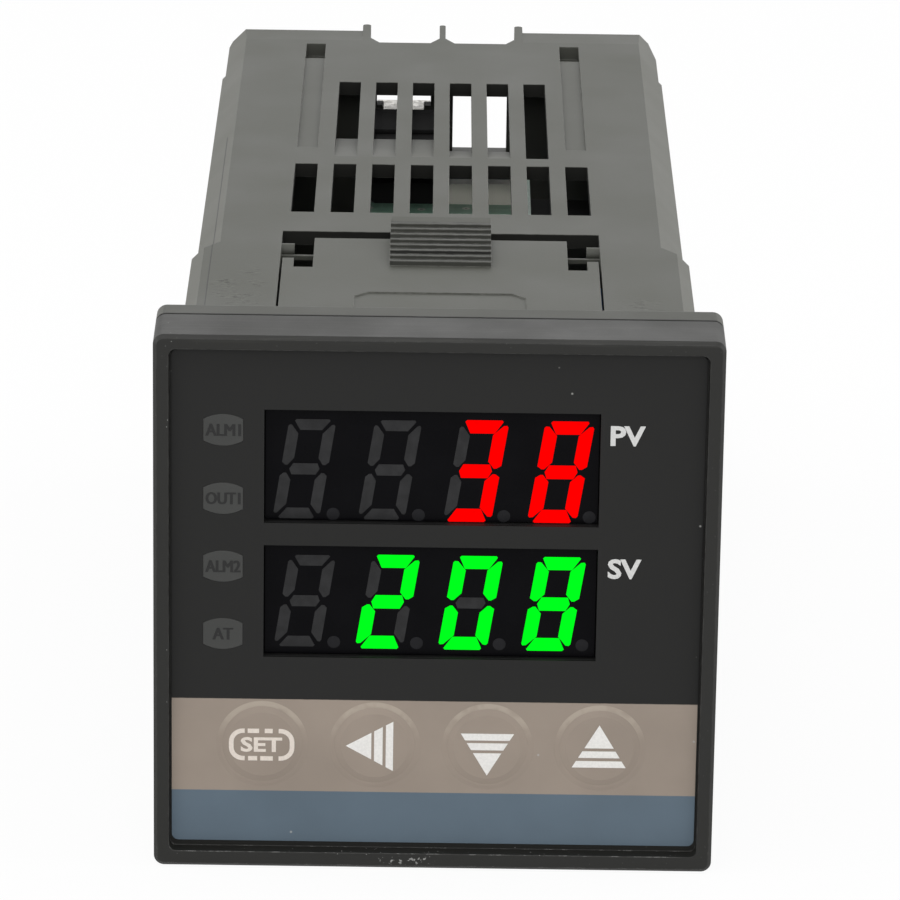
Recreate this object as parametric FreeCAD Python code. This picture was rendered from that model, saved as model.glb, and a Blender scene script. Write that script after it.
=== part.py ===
import FreeCAD, Part
import math
import os

# Panel-mounted temperature controller with a draw-out chassis, in millimetres.
# X runs to the right, Y runs back through the panel, Z runs up.
# The origin is the centre of the panel cut-out, in the plane of the panel's front.

# Panel and bezel: the case flange and the front frame that stands on it
bezel_side = 48.0
bezel_overhang = 1.5
bezel_taper = 0.03
bezel_corner = 0.9
bezel_edge = 0.3
flange_thickness = 2.4
shadow_gap = 0.25
frame_depth = 5.7
frame_wall = 1.32
pocket_rise = 0.1
pocket_corner = 0.6
face_recess = 1.0
face_plate = 1.7

# Face film and what shows through it
film_thickness = 0.3
film_side_gap = 0.2
film_top_gap = 0.25
film_bottom_gap = 0.62
film_corner = 0.6
window_left_gap = 4.25
window_right_gap = 5.25
window_top_gap = 2.25
window_height = 10.1
window_pitch = 12.1
lamp_offset = 3.45
lamp_drop = 1.85
lamp_pitch = 6.1
lamp_width = 3.4
lamp_height = 2.85
lamp_bow = 0.45
lamp_count = 4
lamp_clearance = 0.02
led_width = 2.4
led_height = 2.0
led_gap = 0.15

# Keys
key_names = ("set", "shift", "down", "up")
key_left_gap = 0.15
key_right_gap = 0.66
key_z = -12.95
key_diameter = 7.2
key_clearance = 0.03
key_crown = 0.18
key_rim = 0.7
key_flange_gap = 0.15
key_flange_overhang = 0.45
key_flange_thickness = 0.6
key_travel = 0.3
switch_side = 6.0
switch_height = 3.5
plunger_diameter = 3.4
plunger_clearance = 0.05
plunger_depth = 3.0
plunger_proud = 1.0
bore_spare = 0.15

# Case
case_top_clearance = 0.3
collar_clearance = 0.5
collar_step = 0.35
case_chamfer = 2.1
case_wall = 1.3
case_length = 98.0
collar_chamfer = 1.1
collar_length = 22.5
collar_ramp = 1.9

# Vents, the same on the top and on the bottom
vent_pitch = 3.571
vent_width = 2.1
front_vent_count = 8
front_vent_start = 33.9
front_vent_length = 15.6
rear_vent_count = 6
vent_row_bar = 2.5
rear_vent_length = 26.0
long_ramp = 10.6
short_ramp = 6.8
rear_vent_ramps = (long_ramp, long_ramp, long_ramp, short_ramp, short_ramp, 0.0)

# Guide grooves beside the rear vents
groove_x = 12.55
groove_width = 1.9
groove_depth = 0.3
groove_start = 55.0
groove_length = 32.7
groove_hole_length = 4.4

# Latch tongue
tongue_half_width = 14.0
tongue_start = 5.4
tongue_length = 21.4
tongue_gap = 1.1
tongue_end_slope = 0.95
slit_width = 0.2
corner_inner_x = 11.2
corner_start = 19.8
corner_notch_depth = 2.65
corner_notch_outer_x = 12.9
peg_y = 24.5
peg_radius = 0.62
peg_length = 1.15
peg_drop = 0.15
catch_bar_y = 23.6
catch_bar_width = 0.35
grip_half_width = 4.45
grip_start = 17.8
grip_ridges = 8
grip_pitch = 1.12
grip_ridge_height = 0.3
grip_front_height = 0.15
grip_rear_height = 1.35
relief_length = 4.9
relief_drop = 0.5
mark_half_width = 7.4
mark_start = 4.9
mark_length = 5.2
mark_depth = 0.12
mark_corner = 1.2

# Rear terminal block, moulded in one with the case
rear_wall = 1.6
rear_wall_face = 86.0
cells_per_column = 5
barrier_thickness = 1.0
bay_side_gap = 0.25
fin_thickness = 0.8
middle_fin_thickness = 0.6
fin_length = 13.8
fin_fillet = 0.9
centre_top_overhang = 6.9
bay_height = 10.9
bay_window_margin = 0.8
bay_window_sill = 2.0
bay_terminal_rise = 3.6
lip_bevel_length = 4.4
lip_bevel_drop = 0.2
left_corner_cut = (0.6, 2.6)
right_corner_cut = (1.0, 3.4)
right_corner_ease = (0.35, 4.0)

# Terminals
contact_thickness = 0.6
contact_blade_width = 4.0
contact_reach = 6.9
contact_plate_height = 6.4
contact_plate_inner = 3.2
contact_plate_outer = 3.25
top_contact_overlap = 2.5
top_contact_lug = 0.6
clamp_side = 6.4
clamp_lip = 0.5
clamp_thickness = 0.9
clamp_floor = 0.55
screw_diameter = 3.0
screw_clearance = 0.05
screw_length = 5.2
screw_head_diameter = 5.2
screw_head_height = 2.0
screw_head_taper = 0.4
screw_cross_width = 0.9
screw_cross_depth = 1.1
boss_wall = 1.0
boss_depth = 5.5

# Chassis behind the face
spigot_clearance = 0.25
spigot_wall = 1.2
spigot_length = 4.0
arm_length = 23.0
arm_half_height = 6.0
arm_thickness = 1.0
board_thickness = 1.6
board_fit = 0.2
display_board_y = 0.0
board_side_gap = 0.3
board_edge_gap = 0.3
side_board_rear_gap = 2.4
side_board_step_y = 9.0
guide_rib = 0.8
guide_rib_height = 1.7
guide_start = 28.0
slide_clearance = 0.1

# Display modules
module_margin = 0.65
module_setback = 0.8
module_step = 1.0
module_foot = 0.4
module_foot_half = 0.4
module_clearance = 0.1
plate_gap = 0.05

# Boards and what stands on them
option_left_x = -7.0
option_right_x = 8.4
option_headroom = 1.5
option_start = 48.0
option_end_gap = 0.3
option_short_end = 66.0
option_block_start = 53.0
option_block_height = 2.0
option_block_ease = 0.4
option_relay_length = 8.0
option_block_margin = 0.5
option_relay_margin = 0.8
header_width = 5.0
header_setback = 2.0
header_drop = 1.0

transformer_start = 10.0
transformer_length = 22.0
transformer_height = 15.0
transformer_stack = 10.0
transformer_z = -8.5
transformer_limb = 4.5
winding_proud = 3.2
bobbin_flange = 0.8
bobbin_wall = 0.7
bobbin_foot = 1.5
bobbin_foot_inset = 1.0
core_clearance = 0.1
core_limb_share = 0.66
winding_inset = 0.3
winding_corner = 1.0
pin_standoff = 0.4

mains_cap_diameter = 12.5
mains_cap_height = 20.0
mains_cap_place = (44.0, -7.0)
small_cap_diameter = 8.0
small_cap_height = 12.0
small_cap_places = ((56.5, -12.0), (66.5, -12.0), (56.5, -1.5))
relay_length = 19.5
relay_width = 10.0
relay_height = 15.3
relay_start = 56.0
relay_gap = 0.2
relay_spacing = 1.5
relay_corner = 0.7
chip_side = 12.0
chip_legs = 6
memory_legs = 4
leg_reach = 0.9
leg_root = 0.2
chip_standoff = 0.3
chip_thickness = 1.8
chip_place = (34.0, -6.0)
memory_size = (6.0, 4.0)
memory_place = (20.0, -10.0)
rectifier_size = (8.0, 6.0, 5.0)
rectifier_place = (70.5, 1.5)
rectifier_corner = 0.8
crystal_size = (10.5, 3.8, 3.4)
crystal_place = (17.0, 0.5)
socket_length = 30.0
socket_width = 2.5
socket_depth = 5.0

# Derived places shared by several pieces
panel_cutout = bezel_side - 2.0 * bezel_overhang
bezel_front = bezel_side - 2.0 * bezel_taper
pocket_half = bezel_front / 2.0 - frame_wall
collar_half_width = panel_cutout / 2.0 - collar_clearance
case_half_width = collar_half_width - collar_step
case_half_height = panel_cutout / 2.0 - case_top_clearance
frame_rear_y = -(flange_thickness + shadow_gap)
bezel_front_y = frame_rear_y - frame_depth
film_front_y = bezel_front_y + face_recess
film_rear_y = film_front_y + film_thickness
plate_rear_y = film_rear_y + face_plate
case_inner_half_width = case_half_width - case_wall
case_inner_half_height = case_half_height - case_wall
rear_wall_inner = rear_wall_face - rear_wall
rear_vent_start = front_vent_start + front_vent_length + vent_row_bar
spigot_half_width = case_inner_half_width - spigot_clearance
spigot_half_height = case_inner_half_height - spigot_clearance
sleeve_inner_x = spigot_half_width - spigot_wall
sleeve_inner_z = spigot_half_height - spigot_wall
fin_end = rear_wall_face + fin_length
cell_pitch = 2.0 * case_inner_half_height / cells_per_column
side_board_outer_x = sleeve_inner_x - board_side_gap
side_board_inner_x = side_board_outer_x - board_thickness
side_board_start = display_board_y + board_thickness
side_board_end = rear_wall_inner - side_board_rear_gap
contact_outer_x = side_board_inner_x - slide_clearance
terminal_x = contact_outer_x - contact_plate_outer
fin_x = (middle_fin_thickness + fin_thickness) / 2.0 + clamp_side + 2.0 * bay_side_gap
option_top_z = case_inner_half_height - option_headroom - option_block_height
option_long_end = rear_wall_inner - boss_depth - option_end_gap
top_contact_start = option_long_end - top_contact_overlap
bay_shelf_z = case_inner_half_height - bay_height
bay_open_window_z = bay_shelf_z + bay_window_sill
bay_terminal_window_z = option_top_z + contact_thickness + 2.0 * screw_clearance
relay_bottom_z = -(case_inner_half_height - guide_rib_height - relay_gap)
relay_low_z = (relay_bottom_z, relay_bottom_z + relay_width + relay_spacing)
window_left = -(sleeve_inner_x - window_left_gap)
window_right = sleeve_inner_x - window_right_gap
window_top = sleeve_inner_z - window_top_gap
window_tops = (window_top, window_top - window_pitch)
lamp_x = window_left - lamp_offset
lamp_top_z = window_top - lamp_drop
key_radius = key_diameter / 2.0
key_flange_half = key_radius + key_flange_overhang
key_left_x = -(sleeve_inner_x - key_flange_half - key_left_gap)
key_right_x = sleeve_inner_x - key_flange_half - key_right_gap
key_pitch = (key_right_x - key_left_x) / (len(key_names) - 1)
key_places = [key_left_x + index * key_pitch for index in range(len(key_names))]
lamp_places = [lamp_top_z - index * lamp_pitch for index in range(lamp_count)]
switch_front_y = display_board_y - switch_height
key_face_y = film_front_y - key_crown


def vec(x, y, z):
    return FreeCAD.Vector(x, y, z)


def box(x, y, z):
    # A block from three (low, high) pairs.
    low = vec(min(x), min(y), min(z))
    return Part.makeBox(abs(x[1] - x[0]), abs(y[1] - y[0]), abs(z[1] - z[0]), low)


def rod(radius, start, end):
    direction = end.sub(start)
    return Part.makeCylinder(radius, direction.Length, start, direction)


def outline(points):
    # A closed wire through the points.
    return Part.makePolygon(list(points) + [points[0]])


def prism(points, along):
    return Part.Face(outline(points)).extrude(along)


def mirror_x(shape):
    return shape.mirror(vec(0, 0, 0), vec(1, 0, 0))


def mirror_z(shape):
    return shape.mirror(vec(0, 0, 0), vec(0, 0, 1))


def fused(shapes):
    return shapes[0].multiFuse(shapes[1:]).removeSplitter()


def chamfered_wire(half_x, half_z, corner, y):
    inner_x = half_x - corner
    inner_z = half_z - corner
    points = [vec(inner_x, y, half_z), vec(half_x, y, inner_z),
              vec(half_x, y, -inner_z), vec(inner_x, y, -half_z),
              vec(-inner_x, y, -half_z), vec(-half_x, y, -inner_z),
              vec(-half_x, y, inner_z), vec(-inner_x, y, half_z)]
    return outline(points)


def rounded_wire(half_x, half_z, radius, y, z=0.0):
    # A rectangle with round corners, centred on height z, in the plane at y.
    corners = ((1, 1), (1, -1), (-1, -1), (-1, 1))
    diagonal = radius * math.sqrt(0.5)
    ends = []
    for right, up in corners:
        centre = vec(right * (half_x - radius), y, z + up * (half_z - radius))
        at_side = centre.add(vec(right * radius, 0, 0))
        at_top = centre.add(vec(0, 0, up * radius))
        middle = centre.add(vec(right * diagonal, 0, up * diagonal))
        first, last = (at_top, at_side) if right == up else (at_side, at_top)
        ends.append((first, middle, last))
    edges = []
    for index, (first, middle, last) in enumerate(ends):
        edges.append(Part.Arc(first, middle, last).toShape())
        following = ends[(index + 1) % len(ends)][0]
        edges.append(Part.LineSegment(last, following).toShape())
    return Part.Wire(edges)


def along_y(wire, length):
    return Part.Face(wire).extrude(vec(0, length, 0))


def lamp_solid(z, y, length, grow=0.0):
    # A lamp window: straight sides, bowed top and bottom.
    left = lamp_x - lamp_width / 2.0 - grow
    right = lamp_x + lamp_width / 2.0 + grow
    crown = lamp_height / 2.0 + grow
    shoulder = crown - lamp_bow
    top = Part.Arc(vec(left, y, z + shoulder), vec(lamp_x, y, z + crown), vec(right, y, z + shoulder))
    side = Part.LineSegment(vec(right, y, z + shoulder), vec(right, y, z - shoulder))
    low = Part.Arc(vec(right, y, z - shoulder), vec(lamp_x, y, z - crown), vec(left, y, z - shoulder))
    back = Part.LineSegment(vec(left, y, z - shoulder), vec(left, y, z + shoulder))
    wire = Part.Wire([top.toShape(), side.toShape(), low.toShape(), back.toShape()])
    return along_y(wire, length)


# Case

def vent_columns(count):
    return [(index - (count - 1) / 2.0) * vent_pitch for index in range(count)]


def vent_cut(x, start, length, ramp):
    # One slot through the top wall, its front end sloping down where it has a ramp.
    above = case_half_height + 0.01
    below = case_inner_half_height - 0.01
    left = x - vent_width / 2.0
    points = [vec(left, start, above), vec(left, start + length, above),
              vec(left, start + length, below), vec(left, start + ramp, below)]
    return prism(points, vec(vent_width, 0, 0))


def vent_cuts():
    cuts = []
    for x in vent_columns(front_vent_count):
        cuts.append(vent_cut(x, front_vent_start, front_vent_length, 0.0))
    for x, ramp in zip(vent_columns(rear_vent_count), rear_vent_ramps):
        cuts.append(vent_cut(x, rear_vent_start, rear_vent_length, ramp))
    return cuts


def groove_cuts():
    # A shallow guide groove each side, ending in a hole through the wall.
    across = (groove_x - groove_width / 2.0, groove_x + groove_width / 2.0)
    groove_end = groove_start + groove_length
    shallow = box(across, (groove_start, groove_end), (case_half_height - groove_depth, case_half_height + 1))
    hole = box(across, (groove_end, groove_end + groove_hole_length),
               (case_inner_half_height - 0.01, case_half_height + 1))
    return [shallow, hole, mirror_x(shallow), mirror_x(hole)]


def tongue_cuts():
    # The slits and corner windows that free the latch tongue on three sides.
    deep = (case_inner_half_height - 0.01, case_half_height + 1)
    tongue_end = tongue_start + tongue_length
    slit = box((tongue_half_width - slit_width / 2.0, tongue_half_width + slit_width / 2.0),
               (tongue_start, tongue_end), deep)
    corner = box((corner_inner_x, tongue_half_width + slit_width / 2.0),
                 (corner_start, tongue_end + tongue_gap), deep)
    notch = box((corner_inner_x, corner_notch_outer_x),
                (corner_start - corner_notch_depth, corner_start), deep)
    gap = box((-corner_inner_x, corner_inner_x), (tongue_end, tongue_end + tongue_gap), deep)
    slope = prism([vec(-corner_inner_x, tongue_end - tongue_end_slope, case_half_height),
                   vec(-corner_inner_x, tongue_end, case_half_height - tongue_end_slope),
                   vec(-corner_inner_x, tongue_end + 0.1, case_half_height - tongue_end_slope),
                   vec(-corner_inner_x, tongue_end + 0.1, case_half_height)],
                  vec(2.0 * corner_inner_x, 0, 0))
    relief_start = tongue_end + tongue_gap
    relief = prism([vec(-grip_half_width, relief_start - 0.01, case_half_height - relief_drop),
                    vec(-grip_half_width, relief_start + relief_length, case_half_height),
                    vec(-grip_half_width, relief_start - 0.01, case_half_height + 1)],
                   vec(2.0 * grip_half_width, 0, 0))
    halves = [slit, corner, notch]
    return halves + [mirror_x(cut) for cut in halves] + [gap, slope, relief]


def mark_cut():
    # The shallow oblong panel near the root of the tongue, left blank.
    low = case_half_height - mark_depth
    end = mark_start + mark_length
    points = [vec(-mark_half_width, mark_start, low), vec(mark_half_width, mark_start, low),
              vec(mark_half_width, end - mark_corner, low), vec(mark_half_width - mark_corner, end, low),
              vec(-mark_half_width + mark_corner, end, low), vec(-mark_half_width, end - mark_corner, low)]
    return prism(points, vec(0, 0, mark_depth + 1))


def grip_pad():
    # A ribbed finger pad that rises towards the free end of the tongue.
    end = grip_start + grip_ridges * grip_pitch
    root = case_half_height - case_wall / 2.0
    rise = (grip_rear_height - grip_front_height) / grip_ridges
    points = [(grip_start, root)]
    for ridge in range(grip_ridges):
        base = case_half_height + grip_front_height + ridge * rise
        front = grip_start + ridge * grip_pitch
        points.append((front, base))
        points.append((front, base + grip_ridge_height))
        points.append((front + grip_pitch * 0.4, base + grip_ridge_height))
        points.append((front + grip_pitch * 0.55, base))
    points.append((end, case_half_height + grip_rear_height))
    points.append((end, root))
    return prism([vec(-grip_half_width, y, z) for y, z in points], vec(2.0 * grip_half_width, 0, 0))


def latch_pieces():
    # The pegs that stop the tongue and the thin bars across its corner windows.
    wall_x = tongue_half_width + slit_width / 2.0
    peg_z = case_half_height - peg_radius - peg_drop
    tip = wall_x - peg_length
    peg = rod(peg_radius, vec(tip, peg_y, peg_z), vec(wall_x + 0.2, peg_y, peg_z))
    bar = box((corner_inner_x - 0.2, wall_x + 0.2), (catch_bar_y - catch_bar_width, catch_bar_y),
              (case_inner_half_height, peg_z - 0.1))
    side = peg.fuse(bar)
    return [side, mirror_x(side)]


def guide_ribs():
    # Channels inside the top wall that hold the edges of the two side boards.
    ribs = []
    height = (case_inner_half_height - guide_rib_height, case_inner_half_height + 0.2)
    along = (guide_start, rear_wall_inner - contact_reach)
    inner = contact_outer_x
    outer = side_board_outer_x + slide_clearance
    for low in (inner - guide_rib, outer):
        rib = box((low, low + guide_rib), along, height)
        ribs.extend([rib, mirror_x(rib)])
    return ribs


def top_features(case):
    # Cuts and lands repeated on the top and, mirrored, on the bottom.
    cuts = vent_cuts() + groove_cuts() + tongue_cuts() + [mark_cut()]
    adds = [grip_pad()] + latch_pieces() + guide_ribs()
    case = case.cut(Part.makeCompound(cuts + [mirror_z(cut) for cut in cuts]))
    return case.multiFuse(adds + [mirror_z(add) for add in adds])


def cell_centres():
    return [(index - (cells_per_column - 1) / 2.0) * cell_pitch for index in range(cells_per_column)]


def terminal_cells():
    # Open cells behind the rear wall, one for each terminal of the two columns.
    cuts = []
    half = (cell_pitch - barrier_thickness) / 2.0
    edge = case_half_height - case_wall
    for z in cell_centres():
        low = max(z - half, -edge)
        high = min(z + half, edge)
        cell = box((fin_x + fin_thickness / 2.0, case_half_width + 1), (rear_wall_face, case_length + 1), (low, high))
        cuts.extend([cell, mirror_x(cell)])
    return cuts


def centre_cuts():
    # The two open bays at the top centre and the plain recess under them.
    inside = fin_x - fin_thickness / 2.0
    beyond = case_length + 1
    half_fin = middle_fin_thickness / 2.0
    cuts = []
    for side in (-1, 1):
        across = (side * half_fin, side * inside)
        cuts.append(box(across, (rear_wall_face, beyond), (bay_shelf_z, case_inner_half_height)))
    recess_top = bay_shelf_z - barrier_thickness
    cuts.append(box((-inside, inside), (rear_wall_face, beyond), (-case_inner_half_height, recess_top)))
    edge = rear_wall_face + centre_top_overhang
    notch = box((-inside, inside), (edge, beyond), (case_inner_half_height - 0.01, case_half_height + 1))
    cuts.extend([notch, mirror_z(notch)])
    reach = (rear_wall_inner - 1, rear_wall_face + 1)
    near = half_fin + bay_window_margin
    far = inside - bay_window_margin
    cuts.append(box((-far, -near), reach, (bay_terminal_window_z, case_inner_half_height)))
    cuts.append(box((near, far), reach, (bay_open_window_z, case_inner_half_height)))
    return cuts


def rear_fins():
    # Barrier fins that reach past the lip, with round tips and filleted roots.
    fins = []
    tip = fin_thickness / 2.0
    edge = rear_wall_face + centre_top_overhang
    for x, half, low in ((-fin_x, tip, -case_half_height), (fin_x, tip, -case_half_height),
                         (0.0, middle_fin_thickness / 2.0, bay_shelf_z - barrier_thickness)):
        straight = box((x - half, x + half), (rear_wall_face, fin_end - half), (low, case_half_height))
        nose = rod(half, vec(x, fin_end - half, low), vec(x, fin_end - half, case_half_height))
        fins.append(straight.fuse(nose))
    wall = vec(0, 0, case_wall)
    for x, half in ((-fin_x, tip), (0.0, middle_fin_thickness / 2.0), (fin_x, tip)):
        for side in (-1, 1):
            if abs(x + side * half) > fin_x:
                continue
            start = x + side * half
            root = prism([vec(start, edge, case_inner_half_height), vec(start + side * fin_fillet, edge, case_inner_half_height),
                          vec(start, edge + 2.0 * fin_fillet, case_inner_half_height)], wall)
            fins.append(root)
    return fins


def corner_cuts():
    # Rear corners eased in plan, and the lip's slight fall towards its edge.
    deep = vec(0, 0, 2.0 * case_half_height + 2)
    low = -case_half_height - 1
    end = case_length
    wide = case_half_width + 0.01
    across, back = left_corner_cut
    left = prism([vec(-wide, end - back, low), vec(-wide, end + 1, low),
                  vec(-case_half_width + across, end + 1, low), vec(-case_half_width + across, end, low)], deep)
    across, back = right_corner_cut
    ease, ease_back = right_corner_ease
    right = prism([vec(wide, end - back - ease_back, low), vec(case_half_width - ease, end - back, low),
                   vec(case_half_width - across, end, low), vec(case_half_width - across, end + 1, low),
                   vec(wide + 1, end + 1, low), vec(wide + 1, end - back - ease_back, low)], deep)
    bevel = prism([vec(-wide, end - lip_bevel_length, case_half_height),
                   vec(-wide, end + 1, case_half_height - lip_bevel_drop * (lip_bevel_length + 1) / lip_bevel_length),
                   vec(-wide, end + 1, case_half_height + 1)], vec(2.0 * wide, 0, 0))
    return [left, right, bevel, mirror_z(bevel)]


def screw_places():
    # Every fitted terminal, as (x, z): two columns and one in the top centre.
    places = [(side * terminal_x, z) for side in (-1, 1) for z in cell_centres()]
    bay_x = -(fin_x - fin_thickness / 2.0 + middle_fin_thickness / 2.0) / 2.0
    return places + [(bay_x, bay_shelf_z + bay_terminal_rise)]


def contact_slots():
    # Slots in the rear wall for the contact blades.
    half = contact_blade_width / 2.0 + screw_clearance
    outer = contact_outer_x + screw_clearance
    inner = outer - contact_thickness - 2.0 * screw_clearance
    through = (rear_wall_inner - 1, rear_wall_face + 0.01)
    slots = []
    for z in cell_centres():
        slot = box((inner, outer), through, (z - half, z + half))
        slots.extend([slot, mirror_x(slot)])
    bay_x = screw_places()[-1][0]
    top = bay_terminal_window_z - 0.01
    slots.append(box((bay_x - half, bay_x + half), through, (top - contact_thickness - 2.0 * screw_clearance, top + 0.02)))
    return slots


def make_case():
    body_wire = chamfered_wire(case_half_width, case_half_height, case_chamfer, collar_length + collar_ramp)
    collar_wire = chamfered_wire(collar_half_width, case_half_height, collar_chamfer, -flange_thickness)
    ramp_wire = chamfered_wire(collar_half_width, case_half_height, collar_chamfer, collar_length)
    body = along_y(body_wire, case_length - collar_length - collar_ramp)
    collar = along_y(collar_wire, flange_thickness + collar_length)
    ramp = Part.makeLoft([ramp_wire, body_wire], True, True)
    flange = along_y(rounded_wire(bezel_side / 2.0, bezel_side / 2.0, bezel_corner, -flange_thickness), flange_thickness)
    case = fused([body, ramp, collar, flange])
    cavity = box((-case_inner_half_width, case_inner_half_width), (-flange_thickness - 1, rear_wall_inner),
                 (-case_inner_half_height, case_inner_half_height))
    case = case.cut(cavity)
    case = case.cut(Part.makeCompound(terminal_cells() + centre_cuts() + corner_cuts()))
    holes = []
    radius = screw_diameter / 2.0 + screw_clearance
    hole_end = rear_wall_inner - boss_depth + 1.0
    for x, z in screw_places():
        holes.append(rod(radius, vec(x, rear_wall_face + 0.1, z), vec(x, hole_end, z)))
    half = radius + boss_wall
    along = (rear_wall_inner - boss_depth, rear_wall_inner + 0.2)
    full = (-case_inner_half_height - 0.2, case_inner_half_height + 0.2)
    bosses = [box((side * (terminal_x - half), side * (terminal_x + half)), along, full) for side in (-1, 1)]
    x, z = screw_places()[-1]
    bosses.append(box((x - half, x + half), along, (z - half, z + half)))
    case = case.multiFuse(bosses + rear_fins())
    case = top_features(case)
    return case.cut(Part.makeCompound(holes + contact_slots())).removeSplitter()


# Terminals

def side_contact(z):
    # A flat strip bent once: blade inside the case, drilled plate on the rear wall.
    outer = contact_outer_x
    blade = box((outer - contact_thickness, outer), (rear_wall_inner - contact_reach, rear_wall_face + contact_thickness),
                (z - contact_blade_width / 2.0, z + contact_blade_width / 2.0))
    plate = box((terminal_x - contact_plate_inner, outer), (rear_wall_face, rear_wall_face + contact_thickness),
                (z - contact_plate_height / 2.0, z + contact_plate_height / 2.0))
    hole = rod(screw_diameter / 2.0 + screw_clearance, vec(terminal_x, rear_wall_face - 1, z),
               vec(terminal_x, rear_wall_face + 2, z))
    return blade.fuse(plate).removeSplitter().cut(hole)


def make_contacts(side):
    solids = [side_contact(z) for z in cell_centres()]
    if side < 0:
        solids = [mirror_x(solid) for solid in solids]
    return Part.makeCompound(solids)


def make_top_contact():
    x, z = screw_places()[-1]
    top = bay_terminal_window_z - screw_clearance
    half = contact_blade_width / 2.0
    blade = box((x - half, x + half), (top_contact_start, rear_wall_face + contact_thickness),
                (top - contact_thickness, top))
    wide = half + top_contact_lug
    plate = box((x - wide, x + wide), (rear_wall_face, rear_wall_face + contact_thickness),
                (bay_shelf_z + screw_clearance, top))
    hole = rod(screw_diameter / 2.0 + screw_clearance, vec(x, rear_wall_face - 1, z), vec(x, rear_wall_face + 2, z))
    return blade.fuse(plate).removeSplitter().cut(hole)


def make_clamps():
    # Square clamp washers under the screw heads, their edges turned up to hold a wire.
    clamps = []
    low = rear_wall_face + contact_thickness
    half = clamp_side / 2.0
    for x, z in screw_places():
        plate = box((x - half, x + half), (low, low + clamp_thickness), (z - half, z + half))
        groove = box((x - half + clamp_lip, x + half - clamp_lip), (low + clamp_floor, low + clamp_thickness + 1),
                     (z - half - 1, z + half + 1))
        hole = rod(screw_diameter / 2.0 + screw_clearance, vec(x, low - 1, z), vec(x, low + clamp_thickness + 1, z))
        clamps.append(plate.cut(groove).cut(hole))
    return Part.makeCompound(clamps)


def make_screws():
    # Cross-recessed pan-head screws.
    screws = []
    seat = rear_wall_face + contact_thickness + clamp_floor
    top = seat + screw_head_height
    half = screw_cross_width / 2.0
    reach = screw_head_diameter * 0.31
    end = seat - screw_length
    profile = [(0.0, end), (screw_diameter / 2.0, end), (screw_diameter / 2.0, seat),
               (screw_head_diameter / 2.0, seat), (screw_head_diameter / 2.0 - screw_head_taper, top), (0.0, top)]
    for x, z in screw_places():
        section = Part.Face(outline([vec(x + radius, y, z) for radius, y in profile]))
        screw = section.revolve(vec(x, 0, z), vec(0, 1, 0), 360)
        depth = (top - screw_cross_depth, top + 1)
        cross = box((x - half, x + half), depth, (z - reach, z + reach))
        bar = box((x - reach, x + reach), depth, (z - half, z + half))
        screws.append(screw.cut(cross.fuse(bar)))
    return Part.makeCompound(screws)


# Front frame, film, windows

def window_cut(top, start, end, margin=0.0):
    return box((window_left - margin, window_right + margin), (start, end),
               (top - window_height - margin, top + margin))


def make_front_frame():
    rear = bezel_side / 2.0
    front = bezel_front / 2.0
    eased_front = front - bezel_edge
    block = Part.makeLoft([rounded_wire(rear, rear, bezel_corner, frame_rear_y),
                           rounded_wire(front, front, bezel_corner, bezel_front_y + bezel_edge),
                           rounded_wire(eased_front, eased_front, bezel_corner - bezel_edge, bezel_front_y)], True, True)
    inner = pocket_half
    pocket = along_y(rounded_wire(inner, inner, pocket_corner, bezel_front_y - 1, pocket_rise),
                     1 + face_recess + film_thickness)
    hollow = box((-inner, inner), (plate_rear_y, frame_rear_y + 1), (-inner, inner))
    block = block.cut(pocket).cut(hollow)
    outer = box((-spigot_half_width, spigot_half_width), (plate_rear_y - 0.1, spigot_length),
                (-spigot_half_height, spigot_half_height))
    bore = box((-sleeve_inner_x, sleeve_inner_x), (plate_rear_y - 1, spigot_length + 1),
               (-sleeve_inner_z, sleeve_inner_z))
    sleeve = outer.cut(bore)
    seat = box((-inner - 0.1, inner + 0.1), (frame_rear_y - 1.0, frame_rear_y), (-inner - 0.1, inner + 0.1))
    seat = seat.cut(box((-spigot_half_width + 0.1, spigot_half_width - 0.1), (frame_rear_y - 2, frame_rear_y + 1),
                        (-spigot_half_height + 0.1, spigot_half_height - 0.1)))
    arms = []
    for side in (-1, 1):
        arms.append(box((side * spigot_half_width, side * (spigot_half_width - arm_thickness)),
                        (spigot_length - 0.5, arm_length), (-arm_half_height, arm_half_height)))
        arms.append(box((-arm_half_height, arm_half_height), (spigot_length - 0.5, arm_length),
                        (side * spigot_half_height, side * (spigot_half_height - arm_thickness))))
    frame = block.multiFuse([sleeve, seat] + arms)
    cuts = [window_cut(top, bezel_front_y, plate_rear_y + 1) for top in window_tops]
    cuts += [lamp_solid(z, bezel_front_y, plate_rear_y - bezel_front_y) for z in lamp_places]
    for x in key_places:
        cuts.append(rod(key_radius + key_clearance, vec(x, bezel_front_y, key_z), vec(x, plate_rear_y + 0.5, key_z)))
    return frame.cut(Part.makeCompound(cuts)).removeSplitter()


def make_film():
    # The printed face film: windows, lamp windows and key openings cut through it.
    half_x = pocket_half - film_side_gap
    half_z = pocket_half - (film_top_gap + film_bottom_gap) / 2.0
    centre_z = pocket_rise + (film_bottom_gap - film_top_gap) / 2.0
    film = along_y(rounded_wire(half_x, half_z, film_corner, film_front_y, centre_z), film_thickness)
    start = film_front_y - 1
    end = film_rear_y + 1
    cuts = [window_cut(top, start, end) for top in window_tops]
    cuts += [lamp_solid(z, start, end - start) for z in lamp_places]
    for x in key_places:
        cuts.append(rod(key_radius + key_clearance, vec(x, start, key_z), vec(x, end, key_z)))
    return film.cut(Part.makeCompound(cuts))


def make_lamp_windows():
    length = plate_rear_y - film_front_y
    return Part.makeCompound([lamp_solid(z, film_front_y, length, -lamp_clearance) for z in lamp_places])


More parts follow.
